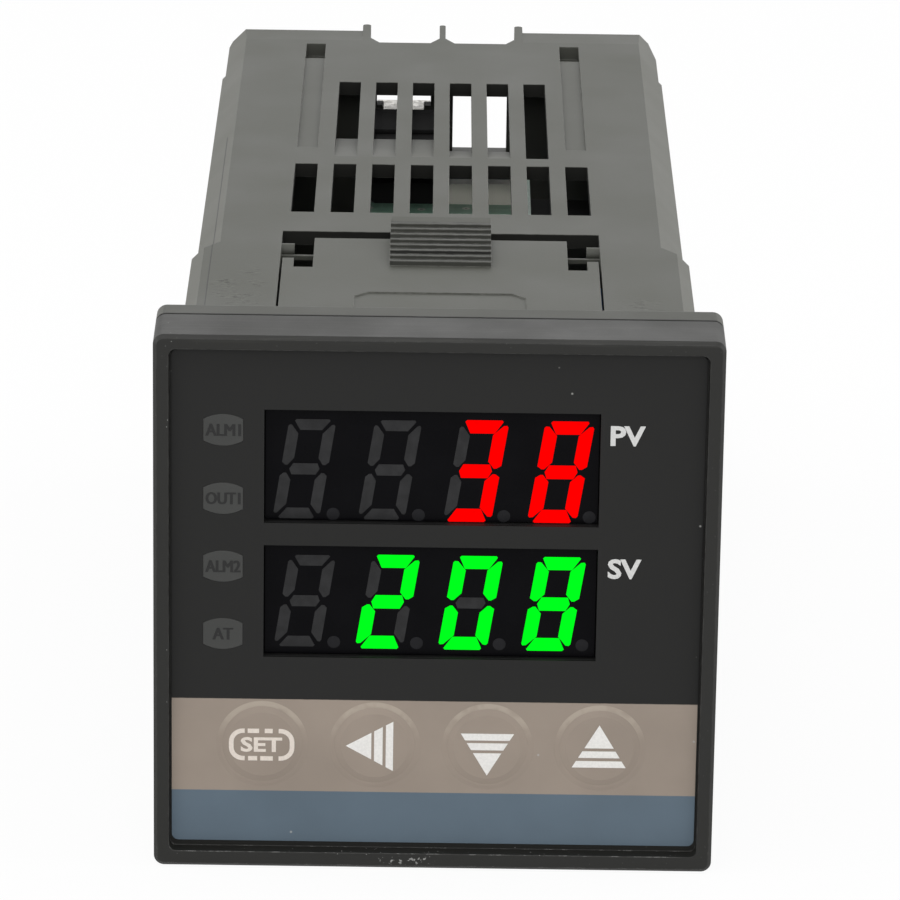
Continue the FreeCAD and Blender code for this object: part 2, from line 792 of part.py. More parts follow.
def make_display(top):
    # A four-digit module: its face stands in the window, its body lies behind the plate.
    face_y = film_front_y + module_setback
    body_end = display_board_y - module_foot
    face = window_cut(top, face_y, plate_rear_y + module_step, -module_clearance)
    body = window_cut(top, plate_rear_y + plate_gap, body_end, module_margin)
    feet = []
    for end in (window_left, window_right):
        feet.append(box((end - module_foot_half, end + module_foot_half), (body_end - 0.1, display_board_y),
                        (top - window_height, top)))
    return fused([face, body] + feet)


def make_indicator_leds():
    # Small flat lamps standing on the display board behind their windows.
    outer = -(sleeve_inner_x - board_fit)
    along = (plate_rear_y + led_gap, display_board_y)
    return Part.makeCompound([box((outer, outer + led_width), along, spread(z, led_height)) for z in lamp_places])


# Keys

def make_key(x):
    # A key: pillow face, square retaining flange behind the plate, and a short stem.
    radius = key_radius
    flange_y = plate_rear_y + key_flange_gap
    flange_end = flange_y + key_flange_thickness
    profile = [(0.0, key_face_y), (radius - key_rim, key_face_y), (radius, key_face_y + key_crown),
               (radius, flange_y + 0.1), (0.0, flange_y + 0.1)]
    section = Part.Face(outline([vec(x + reach, y, key_z) for reach, y in profile]))
    cap = section.revolve(vec(x, 0, key_z), vec(0, 1, 0), 360)
    flange = square_post(x, key_flange_half, flange_y, flange_end)
    stem = square_post(x, plunger_diameter / 2.0, flange_end - 0.1, switch_front_y - plunger_proud)
    return fused([cap, flange, stem])


def square_post(x, half, start, end):
    return box((x - half, x + half), (start, end), (key_z - half, key_z + half))


def make_plunger(x):
    start = switch_front_y - plunger_proud
    return rod(plunger_diameter / 2.0, vec(x, start, key_z), vec(x, start + plunger_depth, key_z))


def make_switches():
    # Tactile switch bodies with a blind bore for the plunger.
    half = switch_side / 2.0
    solids = []
    for x in key_places:
        body = box((x - half, x + half), (switch_front_y, display_board_y), (key_z - half, key_z + half))
        bore_end = switch_front_y - plunger_proud + plunger_depth + key_travel + bore_spare
        bore = rod(plunger_diameter / 2.0 + plunger_clearance, vec(x, switch_front_y - 1, key_z), vec(x, bore_end, key_z))
        solids.append(body.cut(bore))
    return Part.makeCompound(solids)


# Boards

def make_display_board():
    half_x = sleeve_inner_x - board_fit
    half_z = sleeve_inner_z - board_fit
    return box((-half_x, half_x), (display_board_y, display_board_y + board_thickness), (-half_z, half_z))


def make_side_board(side):
    # A side board: narrow where it passes the front sleeve, full height in the case guides.
    narrow = sleeve_inner_z - board_fit
    full = case_inner_half_height - board_edge_gap
    near = side * side_board_inner_x
    points = [vec(near, side_board_start, -narrow), vec(near, side_board_step_y, -narrow),
              vec(near, side_board_step_y, -full), vec(near, side_board_end, -full),
              vec(near, side_board_end, full), vec(near, side_board_step_y, full),
              vec(near, side_board_step_y, narrow), vec(near, side_board_start, narrow)]
    return prism(points, vec(side * board_thickness, 0, 0))


def make_option_board():
    # The small flat board under the vents, longer on the side of the fitted terminal.
    low = option_top_z - board_thickness
    points = [vec(option_left_x, option_start, low), vec(option_right_x, option_start, low),
              vec(option_right_x, option_short_end, low), vec(0.0, option_short_end, low),
              vec(0.0, option_long_end, low), vec(option_left_x, option_long_end, low)]
    return prism(points, vec(0, 0, board_thickness))


def make_option_header():
    # The header that carries the small board from the right side board.
    low = option_top_z - board_thickness
    start = option_start + header_setback
    return box((option_right_x, side_board_inner_x), (start, start + header_width), (low - header_drop, option_top_z))


def make_option_block(low_x, high_x, end):
    block = box((low_x, high_x), (option_block_start, end), (option_top_z, option_top_z + option_block_height))
    return eased(block, option_block_ease)


def eased(block, radius):
    # Rounds the four edges along Y of a block that stands on a flat board.
    edges = [edge for edge in block.Edges
             if abs(edge.BoundBox.YLength) > 0.5 and edge.BoundBox.XLength < 0.01 and edge.BoundBox.ZLength < 0.01]
    return block.makeFillet(radius, edges)


def on_left(height, along, across):
    # A block on the left board's inner face: height inwards, along Y, across Z.
    return box((-side_board_inner_x, -side_board_inner_x + height), along, across)


def on_right(height, along, across):
    return box((side_board_inner_x - height, side_board_inner_x), along, across)


def spread(centre, length):
    return (centre - length / 2.0, centre + length / 2.0)


def transformer_parts():
    # Laminated core with two windows, a flanged bobbin and the winding on it.
    base_x = -side_board_inner_x + pin_standoff
    along = (transformer_start, transformer_start + transformer_length)
    stack = spread(transformer_z, transformer_stack)
    core = box((base_x, base_x + transformer_height), along, stack)
    middle = transformer_start + transformer_length / 2.0
    yoke = transformer_limb * core_limb_share
    window_x = (base_x + yoke, base_x + transformer_height - yoke)
    window_y = (transformer_limb / 2.0, transformer_length / 2.0 - yoke)
    for side in (-1, 1):
        core = core.cut(box(window_x, (middle + side * window_y[0], middle + side * window_y[1]),
                            (stack[0] - 1, stack[1] + 1)))
    limb = core_clearance
    half_y = window_y[1] - limb
    proud = (stack[0] - winding_proud, stack[1] + winding_proud)
    hole = box((base_x - 1, base_x + transformer_height + 1),
               (middle - window_y[0] - limb, middle + window_y[0] + limb), (stack[0] - limb, stack[1] + limb))
    inner_x = (window_x[0] + limb, window_x[1] - limb)
    tube_wall = bobbin_wall
    tube = box(inner_x, (middle - window_y[0] - limb - tube_wall, middle + window_y[0] + limb + tube_wall),
               (stack[0] - limb - tube_wall, stack[1] + limb + tube_wall))
    flanges = [box((x, x + bobbin_flange), (middle - half_y, middle + half_y), proud)
               for x in (inner_x[0], inner_x[1] - bobbin_flange)]
    foot_y = half_y - bobbin_foot_inset
    feet = [box((-side_board_inner_x, inner_x[0] + 0.1), (middle - foot_y, middle + foot_y), (low, low + bobbin_foot))
            for low in (proud[0], proud[1] - bobbin_foot)]
    bobbin = fused([tube] + flanges + feet).cut(hole)
    coil_x = (inner_x[0] + bobbin_flange, inner_x[1] - bobbin_flange)
    coil_y = half_y - winding_inset
    coil = box(coil_x, (middle - coil_y, middle + coil_y), (proud[0] + winding_inset, proud[1] - winding_inset))
    edges = [edge for edge in coil.Edges if edge.BoundBox.XLength > 0.5]
    coil = coil.makeFillet(winding_corner, edges).cut(tube)
    return core, bobbin, coil


def capacitor(place, diameter, height):
    # A radial capacitor standing on the left board.
    y, z = place
    foot = -side_board_inner_x
    return rod(diameter / 2.0, vec(foot, y, z), vec(foot + height, y, z))


def make_small_capacitors():
    return Part.makeCompound([capacitor(place, small_cap_diameter, small_cap_height) for place in small_cap_places])


def make_relay(low_z):
    relay = on_right(relay_height, (relay_start, relay_start + relay_length), (low_z, low_z + relay_width))
    edges = [edge for edge in relay.Edges if edge.BoundBox.XLength > 1.0]
    return relay.makeFillet(relay_corner, edges)


def make_chip(place, length, width, thickness, pins):
    # A moulded chip on the right board with a comb of legs along two sides.
    y, z = place
    body = on_right(thickness, spread(y, length), spread(z, width))
    body = body.cut(on_right(chip_standoff, spread(y, length + 1), spread(z, width + 1)))
    legs = []
    step = length / pins
    for index in range(pins):
        centre = y - length / 2.0 + (index + 0.5) * step
        for side in (-1, 1):
            edge = z + side * width / 2.0
            legs.append(on_right(thickness * 0.55, spread(centre, step * 0.4), (edge - side * leg_root, edge + side * leg_reach)))
    return fused([body] + legs)


def make_rectifier():
    length, width, height = rectifier_size
    y, z = rectifier_place
    block = on_left(height, spread(y, length), spread(z, width))
    edges = [edge for edge in block.Edges if edge.BoundBox.XLength > 1.0]
    return block.makeFillet(rectifier_corner, edges)


def make_crystal():
    length, width, height = crystal_size
    y, z = crystal_place
    block = on_right(height, spread(y, length), spread(z, width))
    edges = [edge for edge in block.Edges if edge.BoundBox.XLength > 1.0]
    return block.makeFillet(width / 2.0 - 0.1, edges)


def make_board_sockets():
    # Socket strips that join each side board to the display board.
    sockets = []
    start = side_board_start
    for side in (-1, 1):
        outer = side * side_board_inner_x
        sockets.append(box((outer, outer - side * socket_width), (start, start + socket_depth),
                           spread(0.0, socket_length)))
    return Part.makeCompound(sockets)


def write(name, shape):
    shape.exportStep("parts/" + name + ".step")


def main():
    os.makedirs("parts", exist_ok=True)
    write("case", make_case())
    write("terminal_contacts_left", make_contacts(-1))
    write("terminal_contacts_right", make_contacts(1))
    write("terminal_contact_top", make_top_contact())
    write("terminal_clamps", make_clamps())
    write("terminal_screws", make_screws())
    write("front_frame", make_front_frame())
    write("face_film", make_film())
    write("lamp_windows", make_lamp_windows())
    write("display_upper", make_display(window_tops[0]))
    write("display_lower", make_display(window_tops[1]))
    write("indicator_leds", make_indicator_leds())
    for name, x in zip(key_names, key_places):
        write("key_" + name, make_key(x))
        write("plunger_" + name, make_plunger(x))
    write("switch_bodies", make_switches())
    write("display_board", make_display_board())
    write("power_board", make_side_board(-1))
    write("main_board", make_side_board(1))
    write("board_sockets", make_board_sockets())
    write("option_board", make_option_board())
    write("option_header", make_option_header())
    connector_end = top_contact_start - option_end_gap
    relay_end = option_block_start + option_relay_length
    write("option_connector", make_option_block(option_left_x + option_block_margin, -option_block_margin, connector_end))
    write("option_relay", make_option_block(option_block_margin, option_right_x - option_relay_margin, relay_end))
    core, bobbin, coil = transformer_parts()
    write("transformer_core", core)
    write("transformer_bobbin", bobbin)
    write("transformer_winding", coil)
    write("mains_capacitor", capacitor(mains_cap_place, mains_cap_diameter, mains_cap_height))
    write("small_capacitors", make_small_capacitors())
    write("output_relay", make_relay(relay_low_z[0]))
    write("alarm_relay", make_relay(relay_low_z[1]))
    write("microcontroller", make_chip(chip_place, chip_side, chip_side, chip_thickness, chip_legs))
    length, width = memory_size
    write("memory_chip", make_chip(memory_place, length, width, chip_thickness, memory_legs))
    write("rectifier", make_rectifier())
    write("crystal", make_crystal())


main()
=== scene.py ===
import bpy
import bmesh
import math
from mathutils import Matrix, Vector


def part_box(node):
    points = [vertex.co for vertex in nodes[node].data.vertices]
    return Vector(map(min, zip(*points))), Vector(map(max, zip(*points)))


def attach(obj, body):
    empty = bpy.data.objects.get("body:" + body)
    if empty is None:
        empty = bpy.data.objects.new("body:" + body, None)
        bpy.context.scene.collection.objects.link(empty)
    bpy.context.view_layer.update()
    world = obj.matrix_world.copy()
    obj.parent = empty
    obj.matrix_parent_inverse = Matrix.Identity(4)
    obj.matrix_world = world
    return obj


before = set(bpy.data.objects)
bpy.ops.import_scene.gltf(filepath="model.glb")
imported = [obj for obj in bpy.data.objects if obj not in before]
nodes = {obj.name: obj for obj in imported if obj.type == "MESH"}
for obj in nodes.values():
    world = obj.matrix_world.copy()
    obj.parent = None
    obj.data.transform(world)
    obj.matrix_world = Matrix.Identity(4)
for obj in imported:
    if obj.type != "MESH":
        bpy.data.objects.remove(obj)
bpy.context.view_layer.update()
scene = bpy.context.scene
mm = 0.001
noiseMiddle = 0.5
print("frame loaded,", len(nodes), "nodes")

# Settings are in millimetres, and these kinds of them are tuples:
# a fade is (from, to) or (from, to, value at from, value at to), a band is (low, high, softness),
# a noise is (scale, detail, roughness, stretch) and a relief is (strength, depth).


def edges(node):
    low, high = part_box(node)
    return Vector(low), Vector(high)


def setInputs(node, values):
    for label, value in values.items():
        node.inputs[label].default_value = value
    return node


def newMaterial(name, colour, rough, metal=0.0, specular=0.5):
    mat = bpy.data.materials.new(name)
    mat.use_nodes = True
    mat.diffuse_color = (*colour, 1)
    shader = setInputs(mat.node_tree.nodes["Principled BSDF"], {
        "Base Color": (*colour, 1), "Roughness": rough, "Metallic": metal, "Specular IOR Level": specular})
    return mat, mat.node_tree, shader


def addNode(tree, kind, **values):
    node = tree.nodes.new("ShaderNode" + kind)
    for key, value in values.items():
        setattr(node, key, value)
    return node


def feed(tree, target, source):
    # Links a socket, or sets a plain value.
    if hasattr(source, "is_output"):
        tree.links.new(source, target)
    else:
        target.default_value = source


def maths(tree, kind, first, second=0.0, clamp=False):
    node = addNode(tree, "Math", operation=kind, use_clamp=clamp)
    feed(tree, node.inputs[0], first)
    feed(tree, node.inputs[1], second)
    return node.outputs[0]


def times(tree, first, *others):
    for other in others:
        first = maths(tree, "MULTIPLY", first, other)
    return first


def most(tree, first, *others):
    for other in others:
        first = maths(tree, "MAXIMUM", first, other)
    return first


def blendColour(tree, amount, first, second):
    node = addNode(tree, "Mix", data_type="RGBA")
    feed(tree, node.inputs["Factor"], amount)
    for socket, value in ((node.inputs[6], first), (node.inputs[7], second)):
        feed(tree, socket, value if hasattr(value, "is_output") else (*value, 1))
    return node.outputs[2]


def shaded(colour, factor):
    return [min(1.0, c * factor) for c in colour]


def mottle(tree, amount, colour, dark, light):
    return blendColour(tree, amount, shaded(colour, dark), shaded(colour, light))


def scaleVector(tree, vector, factor):
    node = addNode(tree, "VectorMath", operation="SCALE")
    feed(tree, node.inputs[0], vector)
    feed(tree, node.inputs["Scale"], factor)
    return node.outputs[0]


def ramp(tree, value, low, high, outLow=0.0, outHigh=1.0):
    node = addNode(tree, "MapRange", interpolation_type="SMOOTHSTEP")
    feed(tree, node.inputs["Value"], value)
    setInputs(node, {"From Min": low, "From Max": high, "To Min": outLow, "To Max": outHigh})
    return node.outputs["Result"]


def between(tree, value, low, high, soft):
    # 1 between low and high, fading over soft at each side.
    rise = ramp(tree, value, low - soft, low + soft)
    fall = ramp(tree, value, high - soft, high + soft, 1.0, 0.0)
    return times(tree, rise, fall)


def objectSpot(tree):
    # Place on the piece, in millimetres.
    return scaleVector(tree, addNode(tree, "TexCoord").outputs["Object"], 1.0 / mm)


def axes(tree, vector):
    parts = addNode(tree, "SeparateXYZ")
    tree.links.new(vector, parts.inputs[0])
    return parts.outputs[0], parts.outputs[1], parts.outputs[2]


def facing(tree):
    return axes(tree, addNode(tree, "NewGeometry").outputs["Normal"])


def noise(tree, vector, scale, detail, rough=0.5, stretch=None):
    if stretch:
        mapping = setInputs(addNode(tree, "Mapping"), {"Scale": stretch})
        tree.links.new(vector, mapping.inputs["Vector"])
        vector = mapping.outputs[0]
    node = setInputs(addNode(tree, "TexNoise"), {"Detail": detail, "Roughness": rough})
    tree.links.new(vector, node.inputs["Vector"])
    feed(tree, node.inputs["Scale"], scale)
    return node.outputs["Fac"]


def emboss(tree, shader, height, relief, normal=None):
    strength, depth = relief
    node = setInputs(addNode(tree, "Bump"), {"Strength": strength, "Distance": depth * mm})
    tree.links.new(height, node.inputs["Height"])
    if normal is not None:
        tree.links.new(normal, node.inputs["Normal"])
    tree.links.new(node.outputs[0], shader.inputs["Normal"])


def roughen(tree, shader, value, rough, fade):
    # The fade's last two numbers are added to the mean roughness.
    low, high, below, above = fade
    feed(tree, shader.inputs["Roughness"], ramp(tree, value, low, high, rough + below, rough + above))


# shader groups that several materials share
shared = {"bevelSamples": 6, "edgeTurn": (0.995, 0.8), "fineDetail": 2.0, "slowShade": (0.12, 4.0),
          "speckSize": (0.05, 0.13, 1.0, 0.0)}


def startGroup(name, inputs, outputs):
    group = bpy.data.node_groups.new(name, "ShaderNodeTree")
    for label, kind, value in inputs:
        socket = group.interface.new_socket(name=label, in_out="INPUT", socket_type=kind)
        if value is not None:
            socket.default_value = value
    for label, kind in outputs:
        group.interface.new_socket(name=label, in_out="OUTPUT", socket_type=kind)
    return group, group.nodes.new("NodeGroupInput"), group.nodes.new("NodeGroupOutput")


def makeEdgeWear():
    # How much a point lies on a sharp edge, and the eased normal there.
    group, start, end = startGroup("edgeWear", [("Radius", "NodeSocketFloat", 0.2 * mm)],
                                   [("Edge", "NodeSocketFloat"), ("Normal", "NodeSocketVector")])
    soft = addNode(group, "Bevel", samples=shared["bevelSamples"])
    group.links.new(start.outputs["Radius"], soft.inputs["Radius"])
    turn = addNode(group, "VectorMath", operation="DOT_PRODUCT")
    group.links.new(soft.outputs[0], turn.inputs[0])
    group.links.new(addNode(group, "NewGeometry").outputs["Normal"], turn.inputs[1])
    group.links.new(ramp(group, turn.outputs["Value"], *shared["edgeTurn"]), end.inputs["Edge"])
    group.links.new(soft.outputs[0], end.inputs["Normal"])
    return group


def makeMouldGrain():
    # Fine spark-eroded texture of moulded plastic, with a slow change of shade.
    group, start, end = startGroup(
        "mouldGrain", [("Vector", "NodeSocketVector", None), ("Size", "NodeSocketFloat", 4.0)],
        [("Height", "NodeSocketFloat"), ("Shade", "NodeSocketFloat")])
    spot = start.outputs["Vector"]
    fine = noise(group, spot, start.outputs["Size"], shared["fineDetail"])
    group.links.new(fine, end.inputs["Height"])
    group.links.new(noise(group, spot, *shared["slowShade"]), end.inputs["Shade"])
    return group


def makeDustSpecks():
    # Sparse pale specks of dust and swarf.
    group, start, end = startGroup(
        "dustSpecks", [("Vector", "NodeSocketVector", None), ("Spacing", "NodeSocketFloat", 1.0),
                       ("Amount", "NodeSocketFloat", 0.3)],
        [("Mask", "NodeSocketFloat")])
    cells = addNode(group, "TexVoronoi", feature="F1")
    group.links.new(start.outputs["Vector"], cells.inputs["Vector"])
    group.links.new(start.outputs["Spacing"], cells.inputs["Scale"])
    speck = ramp(group, cells.outputs["Distance"], *shared["speckSize"])
    pick = addNode(group, "SeparateColor")
    group.links.new(cells.outputs["Color"], pick.inputs[0])
    chosen = maths(group, "LESS_THAN", pick.outputs[0], start.outputs["Amount"])
    group.links.new(times(group, speck, chosen), end.inputs["Mask"])
    return group


edgeWear = makeEdgeWear()
mouldGrain = makeMouldGrain()
dustSpecks = makeDustSpecks()


def placeGroup(tree, group, **values):
    node = tree.nodes.new("ShaderNodeGroup")
    node.node_tree = group
    for key, value in values.items():
        feed(tree, node.inputs[key.capitalize()], value)
    return node


def finish(mat, *names):
    # Gives CAD pieces their finish.
    for name in names:
        data = nodes[name].data
        data.materials.clear()
        data.materials.append(mat)


casePlastic = {
    "colour": (0.0555, 0.0570, 0.0480), "edge": (0.16, 0.16, 0.145), "chamferSheen": (0.106, 0.107, 0.094),
    "shadow": (0.006, 0.006, 0.005), "rough": 0.58, "roughChange": 0.25, "specular": 0.3,
    "grain": 7.0, "edgeRadius": 0.14, "relief": (0.35, 0.03),
    "mottle": (0.90, 1.10), "mottleFade": (0.25, 0.75),
    "edgeBreaks": (0.9, 4.0), "edgeFade": (0.35, 0.62, 0.0, 0.75),
    "slantFacing": (0.35, 0.93, 0.04), "slantUp": (0.25, 0.35, 0.0, 0.8),
    "flange": (0.1, 0.3, 0.3, 0.0), "seam": (-2.25, -2.15, 0.85, 0.0),
}
ventWalls = {"facing": (0.74, 0.84, 1.0, 0.0), "height": (19.9, 22.17, 0.02), "length": (24.6, 85.0, 0.1),
             "width": (-15.0, 15.0, 0.1), "shade": 0.95, "rough": 0.4}
grip = {"first": 17.8, "pitch": 1.12, "valley": (0.42, 0.55, 0.35, 0.85), "length": (17.4, 28.5, 0.05),
        "width": (-4.6, 4.6, 0.05), "height": (22.22, 22.3)}
# rubbed patches near the flange, each with its x, y and half sizes
scuffs = {
    "places": ((-17.6, 9.6, 2.0, 3.8), (17.3, 5.4, 1.6, 3.6), (-16.6, 16.0, 0.8, 1.2)),
    "softX": 1.2, "softY": 1.0, "height": (21.6, 22.0), "uneven": (0.45, 3.0), "unevenFade": (0.38, 0.62),
    "smear": (2.6, 6.0, 0.75, (0.6, 1.2, 1.0)), "rubbed": (0.54, 0.60), "scraped": (0.46, 0.40),
    "rubbedShade": 0.35, "rubbedShare": 0.75, "scrapedShare": 0.35, "rough": 0.12, "depth": 1.2,
}
partingLine = {"x": (-20.25, -20.15, 0.025), "y": (5.0, 60.0, 0.6), "z": (20.5, 20.8),
               "colour": (0.01, 0.01, 0.01), "share": 0.75, "depth": 2.0}


def maskVentWalls(tree, s, x, y, height, up):
    wall = times(tree, between(tree, height, *s["height"]), ramp(tree, up, *s["facing"]))
    return times(tree, wall, between(tree, y, *s["length"]), between(tree, x, *s["width"]))


def maskGripValleys(tree, s, x, y, height):
    turn = maths(tree, "DIVIDE", maths(tree, "SUBTRACT", y, s["first"]), s["pitch"])
    valley = ramp(tree, maths(tree, "FRACT", turn), *s["valley"])
    return times(tree, valley, between(tree, y, *s["length"]), between(tree, x, *s["width"]),
                 ramp(tree, height, *s["height"]))


def maskScuffs(tree, s, spot, x, y, z):
    patches = most(tree, *[
        times(tree, between(tree, x, placeX - halfX, placeX + halfX, s["softX"]),
              between(tree, y, placeY - halfY, placeY + halfY, s["softY"]))
        for placeX, placeY, halfX, halfY in s["places"]])
    uneven = ramp(tree, noise(tree, spot, *s["uneven"]), *s["unevenFade"])
    patches = times(tree, patches, ramp(tree, z, *s["height"]), uneven)
    smear = noise(tree, spot, *s["smear"])
    return [times(tree, ramp(tree, smear, *s[kind]), patches) for kind in ("rubbed", "scraped")]


def makeCasePlastic(s):
    mat, tree, shader = newMaterial("casePlastic", s["colour"], s["rough"], specular=s["specular"])
    spot = objectSpot(tree)
    x, y, z = axes(tree, spot)
    height = maths(tree, "ABSOLUTE", z)
    sideways, _, up = facing(tree)
    grain = placeGroup(tree, mouldGrain, vector=spot, size=s["grain"])
    wear = placeGroup(tree, edgeWear, radius=s["edgeRadius"] * mm)
    colour = mottle(tree, ramp(tree, grain.outputs["Shade"], *s["mottleFade"]), s["colour"], *s["mottle"])
    # painted sheen: faces tilted sideways and upwards, as on the chamfers, are lighter
    sheenMask = between(tree, maths(tree, "ABSOLUTE", sideways), *s["slantFacing"])
    sheenMask = times(tree, sheenMask, ramp(tree, up, *s["slantUp"]))
    colour = blendColour(tree, sheenMask, colour, s["chamferSheen"])
    # shade on the walls of the vents, between the grip's ridges and on the flange's top
    wall = maskVentWalls(tree, ventWalls, x, y, height, maths(tree, "ABSOLUTE", up))
    low = most(tree, times(tree, wall, ventWalls["shade"]), maskGripValleys(tree, grip, x, y, height),
               ramp(tree, y, *s["flange"]))
    colour = blendColour(tree, low, colour, s["shadow"])
    broken = ramp(tree, noise(tree, spot, *s["edgeBreaks"]), *s["edgeFade"])
    colour = blendColour(tree, times(tree, wear.outputs["Edge"], broken), colour, s["edge"])
    rubbed, scraped = maskScuffs(tree, scuffs, spot, x, y, z)
    colour = blendColour(tree, times(tree, rubbed, scuffs["rubbedShare"]), colour,
                         shaded(s["colour"], scuffs["rubbedShade"]))
    colour = blendColour(tree, times(tree, scraped, scuffs["scrapedShare"]), colour, s["edge"])
    # the mould's parting line along the left chamfer, and painted shadow in the seam at the frame
    line = times(tree, between(tree, x, *partingLine["x"]), between(tree, y, *partingLine["y"]),
                 ramp(tree, z, *partingLine["z"]))
    colour = blendColour(tree, times(tree, line, partingLine["share"]), colour, partingLine["colour"])
    colour = blendColour(tree, ramp(tree, y, *s["seam"]), colour, s["shadow"])
    feed(tree, shader.inputs["Base Color"], colour)
    change = times(tree, maths(tree, "SUBTRACT", grain.outputs["Shade"], noiseMiddle), s["roughChange"])
    rough = maths(tree, "ADD", s["rough"], change)
    rough = maths(tree, "ADD", rough, times(tree, rubbed, scuffs["rough"]))
    rough = maths(tree, "ADD", rough, times(tree, wall, ventWalls["rough"]), clamp=True)
    feed(tree, shader.inputs["Roughness"], rough)
    relief = maths(tree, "SUBTRACT", grain.outputs["Height"], times(tree, line, partingLine["depth"]))
    relief = maths(tree, "ADD", relief, times(tree, rubbed, scuffs["depth"]))
    emboss(tree, shader, relief, s["relief"], wear.outputs["Normal"])
    return mat


framePlastic = {
    "colour": (0.0112, 0.0112, 0.0098), "edge": (0.08, 0.08, 0.075), "rough": 0.52, "specular": 0.30,
    "grain": 8.0, "edgeRadius": 0.16, "relief": (0.3, 0.025), "roughFade": (0.2, 0.8, -0.06, 0.08),
    "mottle": (0.8, 1.25), "edgeBreaks": (1.4, 5.0), "edgeFade": (0.3, 0.7, 0.0, 0.8),
}
# faint rubbing along the top, and nicks along the lower edge
topMarks = {"noise": (2.0, 4.0, 0.6, (0.05, 1.8, 1.8)), "fade": (0.5, 0.62, 0.0, 0.5), "z": (23.2, 23.6),
            "shade": 2.2}
lowNicks = {"noise": (0.9, 6.0, 0.7), "fade": (0.52, 0.60, 0.0, 0.7), "z": (-21.9, -22.3),
            "colour": (0.30, 0.30, 0.29)}
# chips and dust along the inside of the rim, most of them at the bottom and the left
rimDust = {"spacing": 2.4, "amount": 0.45, "patches": (0.3, 2.0), "patchFade": (0.42, 0.52),
           "lower": (-22.75, -22.1, 0.25), "left": (-22.9, -22.3, 0.2), "leftShare": 0.6, "elsewhere": 0.09,
           "share": 0.8, "colour": (0.62, 0.62, 0.60)}
rimChip = {"x": (-4.6, -0.2, 0.5), "z": (-23.5, -22.9, 0.15), "noise": (2.4, 4.0, 0.6),
           "fade": (0.56, 0.62, 0.0, 0.55)}
# painted shade inside the seam, and behind the film where the windows are cut
frameShade = {"seam": (-2.9, -2.8, 0.0, 0.85), "plate": (-7.06, -7.02), "x": (-17.0, 16.0, 0.1),
             "z": (-7.0, 18.0, 0.1), "colour": (0.004, 0.004, 0.004)}


def maskRimSpecks(tree, spot, x, z):
    s = rimDust
    dust = placeGroup(tree, dustSpecks, vector=spot, spacing=s["spacing"], amount=s["amount"])
    left = times(tree, between(tree, x, *s["left"]), s["leftShare"])
    where = most(tree, between(tree, z, *s["lower"]), left, s["elsewhere"])
    patch = ramp(tree, noise(tree, spot, *s["patches"]), *s["patchFade"])
    chip = times(tree, between(tree, x, *rimChip["x"]), between(tree, z, *rimChip["z"]),
                 ramp(tree, noise(tree, spot, *rimChip["noise"]), *rimChip["fade"]))
    return times(tree, most(tree, times(tree, dust.outputs["Mask"], patch, where), chip), s["share"])


def makeFramePlastic(s):
    mat, tree, shader = newMaterial("framePlastic", s["colour"], s["rough"], specular=s["specular"])
    spot = objectSpot(tree)
    x, y, z = axes(tree, spot)
    grain = placeGroup(tree, mouldGrain, vector=spot, size=s["grain"])
    wear = placeGroup(tree, edgeWear, radius=s["edgeRadius"] * mm)
    colour = mottle(tree, grain.outputs["Shade"], s["colour"], *s["mottle"])
    marks = ramp(tree, noise(tree, spot, *topMarks["noise"]), *topMarks["fade"])
    marks = times(tree, marks, ramp(tree, z, *topMarks["z"]))
    colour = blendColour(tree, marks, colour, shaded(s["colour"], topMarks["shade"]))
    broken = ramp(tree, noise(tree, spot, *s["edgeBreaks"]), *s["edgeFade"])
    colour = blendColour(tree, times(tree, wear.outputs["Edge"], broken), colour, s["edge"])
    nicks = ramp(tree, noise(tree, spot, *lowNicks["noise"]), *lowNicks["fade"])
    nicks = times(tree, wear.outputs["Edge"], nicks, ramp(tree, z, *lowNicks["z"]))
    colour = blendColour(tree, nicks, colour, lowNicks["colour"])
    colour = blendColour(tree, maskRimSpecks(tree, spot, x, z), colour, rimDust["colour"])
    # painted shade in the seam and on the window walls behind the film
    behind = times(tree, ramp(tree, y, *frameShade["plate"]), between(tree, x, *frameShade["x"]),
                   between(tree, z, *frameShade["z"]))
    dark = most(tree, ramp(tree, y, *frameShade["seam"]), behind)
    feed(tree, shader.inputs["Base Color"], blendColour(tree, dark, colour, frameShade["colour"]))
    roughen(tree, shader, grain.outputs["Shade"], s["rough"], s["roughFade"])
    emboss(tree, shader, grain.outputs["Height"], s["relief"], wear.outputs["Normal"])
    return mat


plainPlastic = {"rough": 0.5, "grain": 6.0, "specular": 0.4, "edge": 1.7, "edgeLift": 0.01, "edgeShare": 0.5,
                "edgeRadius": 0.12, "mottle": (0.85, 1.15), "roughFade": (0.2, 0.8, -0.07, 0.07),
                "relief": (0.3, 0.02)}


def makePlainPlastic(name, changes):
    # Smaller moulded parts: grain, eased edges and a slow change of shade.
    s = {**plainPlastic, **changes}
    mat, tree, shader = newMaterial(name, s["colour"], s["rough"], specular=s["specular"])
    grain = placeGroup(tree, mouldGrain, vector=objectSpot(tree), size=s["grain"])
    wear = placeGroup(tree, edgeWear, radius=s["edgeRadius"] * mm)
    shade = mottle(tree, grain.outputs["Shade"], s["colour"], *s["mottle"])
    worn = [min(1.0, c * s["edge"] + s["edgeLift"]) for c in s["colour"]]
    shade = blendColour(tree, times(tree, wear.outputs["Edge"], s["edgeShare"]), shade, worn)
    feed(tree, shader.inputs["Base Color"], shade)
    roughen(tree, shader, grain.outputs["Shade"], s["rough"], s["roughFade"])
    emboss(tree, shader, grain.outputs["Height"], s["relief"], wear.outputs["Normal"])
    return mat


finish(makeCasePlastic(casePlastic), "case")
finish(makeFramePlastic(framePlastic), "front_frame")
print("moulded plastics done")

